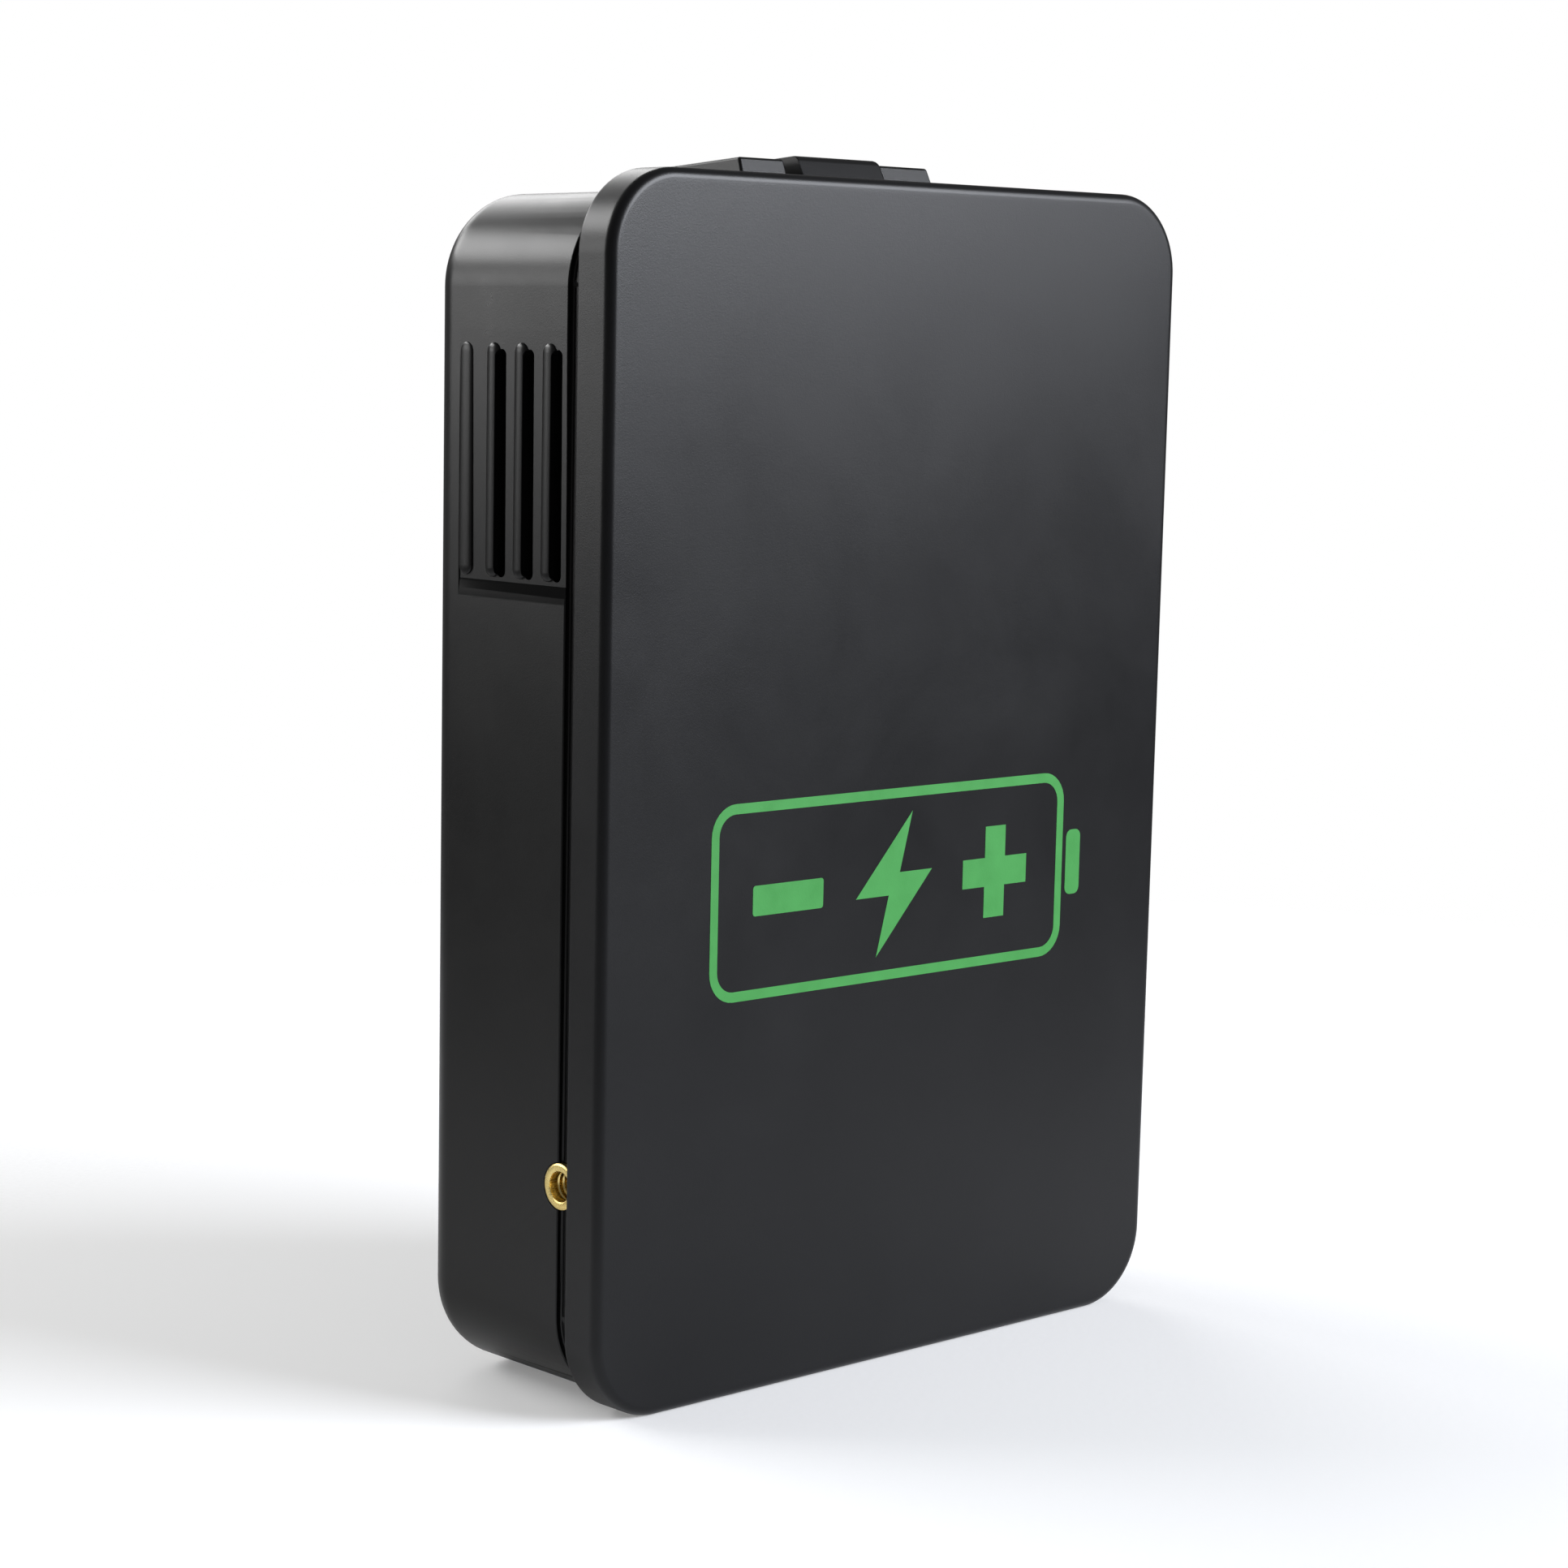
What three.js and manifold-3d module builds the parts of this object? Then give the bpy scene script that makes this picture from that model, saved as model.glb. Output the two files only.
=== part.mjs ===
// Jump starter pack with a built-in tyre compressor.
// Millimetres, +Z up, front cover towards -Y. The pack stands on z = 0, centred on x = 0 and y = 0.
import * as THREE from 'three';
import Module from 'manifold-3d';
import { mergeVertices } from 'three/addons/utils/BufferGeometryUtils.js';

const wasm = await Module();
wasm.setup();

// ---------- driving sizes ----------
const width = 126;
const depth = 44;
const height = 190;
const halfWidth = width / 2;
const halfDepth = depth / 2;
const gap = 0.3; // standard clearance between two pieces

// front cover and rear case
const coverDepth = 7.4;
const coverFront = 2.2; // thickness of the cover's front wall
const coverCorner = 13;
const coverEdge = 1.6;
const overhang = 1; // how far the cover stands out past the case at the sides and below
const topStep = 3.2; // and above
const lipLength = 1.5; // how far the cover's lip reaches back around the case's rim
const lipGap = 0.2;
const seatInset = 1.8; // the cover's cavity is this much smaller than the case, which leaves a ledge
const seam = { width: 3.2, depth: 1 }; // shadow groove around the case, just behind the cover
const caseWall = 2.5;
const caseCorner = 14.5;
const caseEdge = 6;
const frontY = -halfDepth;
const backY = halfDepth;
const coverRearY = frontY + coverDepth;
const caseFrontY = coverRearY - lipLength;
const caseHalfWidth = halfWidth - overhang;
const caseTopZ = height - topStep;
const caseBottomZ = overhang;
const innerBackY = backY - caseWall;
const innerSideX = caseHalfWidth - caseWall;
const screwPlaces = [[-52, 12], [52, 12], [-52, 178], [52, 178]];
const pilotRadius = 1.5;

// raised pod on the top of the case, with the jump socket under its middle flap
const pod = { halfWidth: 21, draft: 1, front: -7, ramp: 3.4, back: 18.5, top: 193.3, fall: 1.6 };
const podGap = { left: -11.4, right: 9.8, floor: 187.6 };
const jumpCover = { halfWidth: 9.4, front: -7.6, ramp: 3.2, top: 194, fall: 1.5, bottom: 188.4 };
const hinge = { y: 14.6, z: 190, barrel: 1.9, pin: 0.9, pinHalf: 15 };
const jumpSocket = { halfWidth: 9, front: -0.6, back: 13.6, bottom: 170, top: 188 };
const contact = { x: 4.4, radius: 3.4, bore: 3 };
const socketMidY = (jumpSocket.front + jumpSocket.back) / 2;

// left side: vents and air outlet
const vent = { count: 3, firstY: -9.2, pitch: 6.6, bottom: 128.5, top: 163, width: 2 };
const ventBead = { offset: 1.9, radius: 1.5, height: 0.6, lastHeight: 0.3 };
const ventField = { frontY: -30, backY: 14.2, depth: 0.45, lip: 3.5 };
const outlet = { y: -11.9, z: 36.2, flange: 3.7, flangeDepth: 0.8, body: 2.8, bore: 2.3 };

// right side: charging ports behind a flap
const usb = { front: -9, back: 5, bottom: 127, top: 165, boardX: 40, midY: -2, typeAZ: 152, typeCZ: 136.5 };

// back: display and keys on the main board
const board = { halfWidth: 34, bottom: 60, top: 150, front: 12.9, back: 14.5 };
const display = { halfWidth: 25, bottom: 118, top: 144 };
const keys = [
  { name: 'power_button', x: 0, z: 76, radius: 7 },
  { name: 'minus_button', x: -16, z: 98, radius: 4.5 },
  { name: 'mode_button', x: 0, z: 98, radius: 4.5 },
  { name: 'plus_button', x: 16, z: 98, radius: 4.5 },
];
const keyTravel = 0.8;

// battery
const cell = { count: 4, x0: 12.2, x1: 54.2, z0: 20, z1: 116, thickness: 7.4, step: 7.8, firstY: -19.2 };
const bmsZ = 122;

// compressor: motor along X, gear train at its right end, cylinder hanging below the crank
const machineY = -3;
const motor = { z: 150, x0: -50, x1: -15.8, radius: 13.5, shaft: 1.5 };
const gearModule = 0.8;
const pinionTeeth = 12;
const crankTeeth = 33;
const gearDistance = (gearModule * (pinionTeeth + crankTeeth)) / 2;
const crankZ = motor.z - gearDistance;
const crankRadius = 5;
const rodLength = 24;
const cylinder = { x: -0.5, bore: 8.3, outer: 10.5, bottom: 95, top: 114 };
const lug = { offset: 11.6, radius: 2.8 };
const lugPlaces = [-1, 1].map((side) => [cylinder.x, machineY + side * lug.offset]);
const wristZ = crankZ - crankRadius - rodLength;

// lamp on the top face
const lamp = { x: 38, y: 2, radius: 6 };

// ---------- geometry helpers ----------
function solid(geometry) {
  const plain = geometry.index ? geometry.toNonIndexed() : geometry.clone();
  plain.deleteAttribute('normal');
  plain.deleteAttribute('uv');
  const merged = mergeVertices(plain, 1e-5);
  const source = new wasm.Mesh({
    numProp: 3,
    vertProperties: new Float32Array(merged.attributes.position.array),
    triVerts: new Uint32Array(merged.index.array),
  });
  return new wasm.Manifold(source);
}

function geometryOf(manifold) {
  const mesh = manifold.getMesh();
  const geometry = new THREE.BufferGeometry();
  geometry.setAttribute('position', new THREE.BufferAttribute(new Float32Array(mesh.vertProperties), 3));
  geometry.setIndex(new THREE.BufferAttribute(new Uint32Array(mesh.triVerts), 1));
  geometry.computeVertexNormals();
  return geometry;
}

function union(parts) {
  return parts.reduce((whole, part) => whole.add(part));
}

function without(whole, cutters) {
  return cutters.reduce((left, cutter) => left.subtract(cutter), whole);
}

function box(x0, x1, y0, y1, z0, z1) {
  const geometry = new THREE.BoxGeometry(x1 - x0, y1 - y0, z1 - z0);
  geometry.translate((x0 + x1) / 2, (y0 + y1) / 2, (z0 + z1) / 2);
  return solid(geometry);
}

// Turns a geometry built along +Z so that it runs along the named axis.
function alongAxis(geometry, axis) {
  if (axis === 'x') geometry.rotateZ(Math.PI / 2).rotateY(Math.PI / 2);
  if (axis === 'y') geometry.rotateX(Math.PI / 2).scale(-1, -1, 1);
  return geometry;
}

// Moves a geometry across an axis; centre gives the two coordinates across it in X, Y, Z order.
function movedAcross(geometry, axis, [a, b]) {
  if (axis === 'x') geometry.translate(0, a, b);
  if (axis === 'y') geometry.translate(a, 0, b);
  if (axis === 'z') geometry.translate(a, b, 0);
  return geometry;
}

// Round bar along an axis.
function bar(axis, radius, from, to, centre, segments = 24, endRadius = radius) {
  const geometry = new THREE.CylinderGeometry(endRadius, radius, to - from, segments);
  geometry.rotateX(Math.PI / 2).translate(0, 0, (from + to) / 2);
  return solid(movedAcross(alongAxis(geometry, axis), axis, centre));
}

// Closed profile of [radius, z] points turned about +Z, then laid along an axis.
function turned(axis, profile, centre, segments = 24) {
  const points = profile.map(([r, z]) => new THREE.Vector2(r, z));
  points.push(points[0].clone());
  const geometry = new THREE.LatheGeometry(points, segments).rotateX(Math.PI / 2);
  return solid(movedAcross(alongAxis(geometry, axis), axis, centre));
}

function roundedOutline(x0, x1, y0, y1, radius) {
  const shape = new THREE.Shape();
  shape.moveTo(x0 + radius, y0);
  shape.lineTo(x1 - radius, y0);
  shape.absarc(x1 - radius, y0 + radius, radius, -Math.PI / 2, 0, false);
  shape.lineTo(x1, y1 - radius);
  shape.absarc(x1 - radius, y1 - radius, radius, 0, Math.PI / 2, false);
  shape.lineTo(x0 + radius, y1);
  shape.absarc(x0 + radius, y1 - radius, radius, Math.PI / 2, Math.PI, false);
  shape.lineTo(x0, y0 + radius);
  shape.absarc(x0 + radius, y0 + radius, radius, Math.PI, 1.5 * Math.PI, false);
  return shape;
}

// Upright slot outline with half-round ends, from the lower arc centre to the upper one.
function capsule(x, lowY, highY, radius) {
  const shape = new THREE.Shape();
  shape.absarc(x, highY, radius, 0, Math.PI, false);
  shape.absarc(x, lowY, radius, Math.PI, 2 * Math.PI, false);
  return shape;
}

// Extrudes an outline from z = from to z = to, with both rims rounded over by edge.
function slabGeometry(shape, from, to, edge, curveSegments, edgeSegments) {
  const geometry = new THREE.ExtrudeGeometry(shape, {
    depth: to - from - 2 * edge,
    bevelEnabled: edge > 0,
    bevelThickness: edge,
    bevelSize: edge,
    bevelOffset: -edge,
    bevelSegments: edgeSegments,
    curveSegments,
  });
  return geometry.translate(0, 0, from + edge);
}

// Slab whose outline lies in XZ and which runs along Y.
function slabY(shape, from, to, edge = 0, curveSegments = 4, edgeSegments = 3) {
  return solid(slabGeometry(shape, -to, -from, edge, curveSegments, edgeSegments).rotateX(Math.PI / 2));
}

// Slab whose outline lies in YZ and which runs along X.
function slabX(shape, from, to, edge = 0, curveSegments = 4, edgeSegments = 2) {
  const geometry = slabGeometry(shape, from, to, edge, curveSegments, edgeSegments);
  return solid(geometry.rotateX(Math.PI / 2).rotateZ(Math.PI / 2));
}

// Slab whose outline lies in XY and which runs along Z.
function slabZ(shape, from, to, edge = 0, curveSegments = 4, edgeSegments = 2) {
  return solid(slabGeometry(shape, from, to, edge, curveSegments, edgeSegments));
}

function circle(radius) {
  const shape = new THREE.Shape();
  shape.absarc(0, 0, radius, 0, 2 * Math.PI, false);
  return shape;
}

// Round tube along a smooth path, solid unless an inner radius is given.
function tube(points, radius, innerRadius = 0, steps = 16) {
  const places = points.map((point) => new THREE.Vector3(...point));
  const path = new THREE.CatmullRomCurve3(places);
  const sweep = (r, extrudePath, curveSegments) =>
    solid(new THREE.ExtrudeGeometry(circle(r), { steps, curveSegments, extrudePath }));
  const outer = sweep(radius, path, 5);
  if (!innerRadius) return outer;
  const first = places[0].clone().sub(path.getTangent(0));
  const last = places.at(-1).clone().add(path.getTangent(1));
  const longer = new THREE.CatmullRomCurve3([first, ...places, last]);
  return outer.subtract(sweep(innerRadius, longer, 4));
}

// Spur gear outline centred on the origin, with a tooth or a gap on the +Y direction.
function gearOutline(teeth, toothUp) {
  const pitchRadius = (gearModule * teeth) / 2;
  const step = (2 * Math.PI) / teeth;
  const flank = [
    [-0.3, pitchRadius - 1.1 * gearModule],
    [-0.2, pitchRadius],
    [-0.1, pitchRadius + 0.8 * gearModule],
  ];
  const tooth = [...flank, ...flank.map(([share, r]) => [-share, r]).reverse()];
  const points = [];
  for (let i = 0; i < teeth; i += 1) {
    const middle = Math.PI / 2 + (i + (toothUp ? 0 : 0.5)) * step;
    for (const [share, r] of tooth) {
      const angle = middle + share * step;
      points.push(new THREE.Vector2(r * Math.cos(angle), r * Math.sin(angle)));
    }
  }
  return new THREE.Shape(points);
}

// ---------- assembly ----------
const pack = new THREE.Group();
pack.name = 'jump_starter_pack';

function addPiece(name, manifold, colour, roughness, metalness) {
  const material = new THREE.MeshStandardMaterial({ color: colour, roughness, metalness });
  const mesh = new THREE.Mesh(geometryOf(manifold), material);
  mesh.name = name;
  pack.add(mesh);
}

const shellPlastic = [0x26272a, 0.42, 0];
const darkPlastic = [0x1b1c1e, 0.6, 0];
const rubber = [0x18191a, 0.85, 0];
const brass = [0xc9a94a, 0.3, 1];
const steel = [0xb4b7ba, 0.35, 1];
const boardGreen = [0x1f5b3a, 0.55, 0];

// ---------- front cover ----------
function coverOutline(inset) {
  return roundedOutline(-halfWidth + inset, halfWidth - inset, inset, height - inset, coverCorner - inset);
}

function caseOutline(inset) {
  const x = caseHalfWidth - inset;
  return roundedOutline(-x, x, caseBottomZ + inset, caseTopZ - inset, caseCorner - inset);
}

function buildFrontCover() {
  const blank = slabY(coverOutline(0), frontY, coverRearY + coverEdge, coverEdge, 4, 3);
  const trim = box(-80, 80, coverRearY, 40, -10, 210);
  const hollow = slabY(caseOutline(seatInset), frontY + coverFront, coverRearY + 10, 1, 4, 1);
  const lipHollow = slabY(caseOutline(seam.depth - lipGap), caseFrontY - gap, coverRearY + 10);
  const ringRelief = bar('x', outlet.flange + gap, -caseHalfWidth - 0.2, -55, [outlet.y, outlet.z], 32);
  const shell = without(blank, [trim, hollow, lipHollow, ringRelief]);
  const posts = screwPlaces.map((place) => bar('y', 3.8, frontY + 1.2, 5, place, 20));
  const pilots = screwPlaces.map((place) => bar('y', pilotRadius, frontY + 4, 6, place, 12));
  return without(union([shell, ...posts]), pilots);
}
addPiece('front_cover', buildFrontCover(), ...shellPlastic);

// ---------- rear case ----------
function caseShell() {
  const blank = slabY(caseOutline(0), caseFrontY - caseEdge, backY, caseEdge, 4, 4);
  const trim = box(-80, 80, -60, caseFrontY, -10, 210);
  const hollow = slabY(caseOutline(caseWall), caseFrontY - 20, innerBackY, 4, 4, 3);
  return without(blank, [trim, hollow]);
}

// Side profile of the pod or its flap in YZ: a ramp up the front, then a top that falls to a plain back.
function rampProfile({ front, ramp, top, fall }, back, bottom) {
  const shape = new THREE.Shape();
  shape.moveTo(front, bottom);
  shape.lineTo(back, bottom);
  shape.lineTo(back, top - fall);
  shape.lineTo(front + ramp, top);
  shape.closePath();
  return shape;
}

// The pod before its slot is cut: its sides lean in towards the top.
function podBlank() {
  const base = caseTopZ - 2;
  const foot = pod.halfWidth + pod.draft;
  const across = new THREE.Shape();
  across.moveTo(-foot, base);
  across.lineTo(foot, base);
  across.lineTo(pod.halfWidth, pod.top);
  across.lineTo(-pod.halfWidth, pod.top);
  across.closePath();
  const along = slabX(rampProfile(pod, pod.back, base), -foot - 1, foot + 1);
  return slabY(across, pod.front - 1, pod.back + 1).intersect(along);
}

// Room for the flap between the pod's two ears, wider at the flap's left.
function podSlot() {
  return box(podGap.left, podGap.right, pod.front - 2, pod.back + 2, podGap.floor, pod.top + 1);
}

// Shadow groove around the case, just behind the cover.
function seamGroove() {
  const end = coverRearY + seam.width;
  const around = box(-80, 80, caseFrontY - 1, end, -10, 210);
  return around.subtract(slabY(caseOutline(seam.depth), caseFrontY - 2, end + 1));
}

// The vents' field sinks towards its bottom, where a lip leads back out.
function ventHollow() {
  const surface = -caseHalfWidth;
  const shape = new THREE.Shape();
  shape.moveTo(surface - 1, vent.bottom - ventField.lip);
  shape.lineTo(surface, vent.bottom - ventField.lip);
  shape.lineTo(surface + ventField.depth, vent.bottom - 0.6);
  shape.lineTo(surface, vent.top + 3);
  shape.lineTo(surface - 1, vent.top + 3);
  shape.closePath();
  return slabY(shape, ventField.frontY, ventField.backY);
}

// Raised beads, one behind each slot and a fainter one at the end of the row.
function ventBeads() {
  const beads = [];
  for (let i = 0; i <= vent.count; i += 1) {
    const y = vent.firstY + i * vent.pitch + ventBead.offset;
    const outline = capsule(y, vent.bottom + ventBead.radius, vent.top - 0.5, ventBead.radius);
    const height = i < vent.count ? ventBead.height : ventBead.lastHeight;
    beads.push(slabX(outline, -caseHalfWidth - height, -caseHalfWidth + 2, 0.8, 2, 1));
  }
  return beads;
}

function ventSlots() {
  const half = vent.width / 2;
  const slots = [];
  for (let i = 0; i < vent.count; i += 1) {
    const outline = capsule(vent.firstY + i * vent.pitch, vent.bottom + half, vent.top - half, half);
    slots.push(slabX(outline, -caseHalfWidth - 2, -innerSideX + 2, 0, 2));
  }
  return slots;
}

function screwBosses() {
  return screwPlaces.map((place) => bar('y', 4.4, 5.4, innerBackY + 1, place, 20));
}

// A hole for each screw's shank and a wider one for its head.
function screwHoles() {
  const shanks = screwPlaces.map((place) => bar('y', 1.8, 4, 30, place, 16));
  const heads = screwPlaces.map((place) => bar('y', 3.2, 13, 30, place, 20));
  return [...shanks, ...heads];
}

function boardPosts() {
  const posts = [];
  for (const x of [-board.halfWidth + 4, board.halfWidth - 4]) {
    for (const z of [board.bottom + 4, board.top - 4]) {
      posts.push(bar('y', 2.6, board.back + gap, innerBackY + 1, [x, z], 16));
    }
  }
  return posts;
}

function motorRibs() {
  const ribs = [box(-47, -44.5, 4, innerBackY + 1, 138, 162), box(-39, -36.5, 4, innerBackY + 1, 138, 162)];
  const seat = bar('x', motor.radius + gap, motor.x0 - 5, motor.x1, [machineY, motor.z], 32);
  return ribs.map((rib) => rib.subtract(seat));
}

function keyHoles() {
  return keys.map(({ x, z, radius }) => bar('y', radius + gap, 15, 30, [x, z]));
}

function keyDishes() {
  const widen = 0.6;
  return keys.map(({ x, z, radius }) => (
    bar('y', radius + widen, backY - widen, backY + 1, [x, z], 24, radius + 3)
  ));
}

function footPocket(x) {
  return slabZ(roundedOutline(x - 12.3, x + 12.3, 5.7, 14.3, 3.3), -1, 2.1);
}

function outletHoles() {
  const centre = [outlet.y, outlet.z];
  const seat = bar('x', outlet.flange + 0.1, -70, -caseHalfWidth + outlet.flangeDepth, centre, 32);
  return [bar('x', outlet.body + gap, -70, -50, centre, 24), seat];
}

// A shallow recess for the flap, and behind it an opening for each socket.
function portHoles() {
  const outline = roundedOutline(usb.front, usb.back, usb.bottom, usb.top, 2.5);
  return [
    slabX(outline, caseHalfWidth - 1.7, caseHalfWidth + 3),
    box(50, 70, usb.midY - 3.4, usb.midY + 3.4, usb.typeAZ - 7.2, usb.typeAZ + 7.2),
    box(50, 70, usb.midY - 2.3, usb.midY + 2.3, usb.typeCZ - 5.2, usb.typeCZ + 5.2),
  ];
}

// A recess for the window, and behind it an opening 2 mm smaller all round.
function displayHoles() {
  const { halfWidth: half, bottom, top } = display;
  return [
    slabY(roundedOutline(-half, half, bottom, top, 3), backY - 1.3, backY + 3),
    slabY(roundedOutline(-half + 2, half - 2, bottom + 2, top - 2, 2), 15, backY + 1),
  ];
}

function buildRearCase() {
  const outside = without(caseShell(), [seamGroove(), ventHollow()]).add(podBlank());
  const body = union([outside, ...ventBeads(), ...screwBosses(), ...boardPosts(), ...motorRibs()]);
  const cutters = [
    podSlot(),
    box(-9.3, 9.3, jumpSocket.front - gap, jumpSocket.back + gap, 180, 200),
    bar('x', hinge.pin + gap, -hinge.pinHalf - 0.5, hinge.pinHalf + 0.5, [hinge.y, hinge.z], 16),
    ...ventSlots(),
    ...outletHoles(),
    ...portHoles(),
    ...displayHoles(),
    ...keyHoles(),
    ...keyDishes(),
    ...screwHoles(),
    bar('z', lamp.radius + gap, 175, 200, [lamp.x, lamp.y]),
    footPocket(-32),
    footPocket(32),
  ];
  return without(body, cutters);
}
addPiece('rear_case', buildRearCase(), ...shellPlastic);

// ---------- case screws and feet ----------
function buildCaseScrew(x, z) {
  const head = bar('y', 2.8, 13.3, 15.6, [x, z], 20);
  const shank = bar('y', 1.2, -6, 14, [x, z], 12);
  const recess = slabY(roundedOutline(x - 1.6, x + 1.6, z - 0.35, z + 0.35, 0.1), 14.6, 17, 0, 1);
  const crossRecess = slabY(roundedOutline(x - 0.35, x + 0.35, z - 1.6, z + 1.6, 0.1), 14.6, 17, 0, 1);
  return without(head.add(shank), [recess, crossRecess]);
}
screwPlaces.forEach(([x, z], i) => addPiece(`case_screw_${i + 1}`, buildCaseScrew(x, z), ...steel));

function buildFoot(x) {
  return slabZ(roundedOutline(x - 12, x + 12, 6, 14, 3), 0, 1.8, 0.4, 3, 1);
}
addPiece('foot_left', buildFoot(-32), ...rubber);
addPiece('foot_right', buildFoot(32), ...rubber);

// ---------- air outlet ----------
function buildOutletFitting() {
  const face = -caseHalfWidth - 0.1;
  const seat = -caseHalfWidth + outlet.flangeDepth - 0.1;
  const profile = [
    [outlet.bore, face + 0.3], [outlet.bore + 0.3, face], [outlet.flange - 0.3, face],
    [outlet.flange, face + 0.3], [outlet.flange, seat], [outlet.body, seat], [outlet.body, -52], [1.6, -51],
    [1.6, -44.5], [1.3, -44], [0.8, -44], [0.8, -53], [outlet.bore, -54],
  ];
  return turned('x', profile, [outlet.y, outlet.z], 32);
}
addPiece('air_outlet_fitting', buildOutletFitting(), ...brass);

function buildOutletNut() {
  const nut = bar('x', 4.6, -59.1, -56.2, [outlet.y, outlet.z], 6);
  return nut.subtract(bar('x', outlet.body + gap, -60, -50, [outlet.y, outlet.z], 24));
}
addPiece('air_outlet_nut', buildOutletNut(), ...brass);

// ---------- display and keys ----------
function buildDisplayWindow() {
  const half = display.halfWidth - gap;
  return slabY(roundedOutline(-half, half, display.bottom + gap, display.top - gap, 2.7), 21, 22, 0.2, 3, 1);
}
addPiece('display_window', buildDisplayWindow(), 0x101216, 0.08, 0);

function buildDisplayPanel() {
  const outline = roundedOutline(-22.5, 22.5, display.bottom + 2.6, display.top - 2.6, 1);
  const glass = slabY(outline, 16.6, 19.2, 0.2, 2, 1);
  return glass.add(box(-21, 21, board.back + gap, 17, display.bottom + 5, display.top - 5));
}
addPiece('display_panel', buildDisplayPanel(), 0x2c3a3c, 0.2, 0);

function buildKey({ x, z, radius }) {
  const profile = [
    [0, 17.6], [radius + 1, 17.6], [radius + 1, 19], [radius, 19], [radius, 21.4], [radius - 0.6, 22],
    [radius - 1.6, 21.8], [0, 21.5],
  ];
  return turned('y', profile, [x, z]);
}

function buildSwitch({ x, z }) {
  const base = box(x - 3, x + 3, board.back + gap, 16.2, z - 3, z + 3);
  return base.add(bar('y', 1.5, 16, 17.6 - keyTravel - 0.1, [x, z], 16));
}
for (const key of keys) {
  addPiece(key.name, buildKey(key), ...rubber);
  addPiece(`${key.name}_switch`, buildSwitch(key), ...darkPlastic);
}

// ---------- main board and its parts ----------
function buildMainBoard() {
  const half = board.halfWidth;
  return slabY(roundedOutline(-half, half, board.bottom, board.top, 2), board.front, board.back, 0, 2);
}
addPiece('main_board', buildMainBoard(), ...boardGreen);

function buildRelay() {
  const body = slabY(roundedOutline(-31, -17, 64, 84, 1), 3, board.front - gap, 0.6, 2, 1);
  return body.add(box(-29, -19, 2.2, 4, 66, 82));
}
addPiece('start_relay', buildRelay(), 0x1d4f8c, 0.4, 0);

function buildCapacitor() {
  const profile = [
    [0, 0.5], [4.2, 0.5], [5, 1.2], [5, 10], [4.5, 10.5], [4.5, 11.2], [5, 11.6], [5, 12.4], [0, 12.4],
  ];
  return turned('y', profile, [-24, 96], 24);
}
addPiece('smoothing_capacitor', buildCapacitor(), 0x2b2d55, 0.35, 0.1);

// ---------- jump socket and its cover ----------
function buildJumpCover() {
  const { halfWidth: half, bottom } = jumpCover;
  const centre = [hinge.y, hinge.z];
  const lid = slabX(rampProfile(jumpCover, hinge.y + 0.6, bottom), -half, half, 1.1, 1, 2);
  const underside = box(-half - 1, half + 1, hinge.y - hinge.barrel, hinge.y + 4, bottom - 1, hinge.z - 0.6);
  const barrel = bar('x', hinge.barrel, -half, half, centre, 24);
  const pinHole = bar('x', hinge.pin + gap, -half - 1, half + 1, centre, 16);
  return without(union([lid.subtract(underside), barrel]), [pinHole]);
}
addPiece('jump_port_cover', buildJumpCover(), ...rubber);

function buildHingePin() {
  return bar('x', hinge.pin, -hinge.pinHalf, hinge.pinHalf, [hinge.y, hinge.z], 16);
}
addPiece('jump_cover_pin', buildHingePin(), ...steel);

function buildJumpSocket() {
  const { halfWidth: half, front, back, bottom, top } = jumpSocket;
  const block = slabZ(roundedOutline(-half, half, front, back, 1.5), bottom, top, 0.4, 2, 1);
  const cutters = [];
  for (const x of [-contact.x, contact.x]) {
    cutters.push(bar('z', contact.radius + gap, bottom + 2, top + 1, [x, socketMidY]));
    cutters.push(bar('z', 1.9, bottom - 1, bottom + 3, [x, socketMidY], 16));
  }
  return without(block, cutters);
}
addPiece('jump_socket_body', buildJumpSocket(), 0x2450a0, 0.5, 0);

function buildJumpContact(x) {
  const { bottom, top } = jumpSocket;
  const { radius, bore } = contact;
  const rim = top - 1.6;
  const profile = [
    [0, bottom - 7], [1.6, bottom - 7], [1.6, bottom + 2.3], [radius, bottom + 2.3], [radius, rim],
    [bore, rim], [bore, bottom + 4], [0, bottom + 4],
  ];
  return turned('z', profile, [x, socketMidY]);
}
addPiece('jump_contact_positive', buildJumpContact(contact.x), ...brass);
addPiece('jump_contact_negative', buildJumpContact(-contact.x), ...brass);

// ---------- charging ports ----------
function buildUsbCover() {
  const outline = roundedOutline(usb.front + gap, usb.back - gap, usb.bottom + gap, usb.top - gap, 2.2);
  const flap = slabX(outline, caseHalfWidth - 1.4, caseHalfWidth, 0.25, 3, 1);
  const lipOutline = roundedOutline(-5, 1, usb.top - 4, usb.top - 2.6, 0.6);
  return flap.add(slabX(lipOutline, caseHalfWidth - 1, caseHalfWidth + 0.6));
}
addPiece('usb_port_cover', buildUsbCover(), ...rubber);

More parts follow.
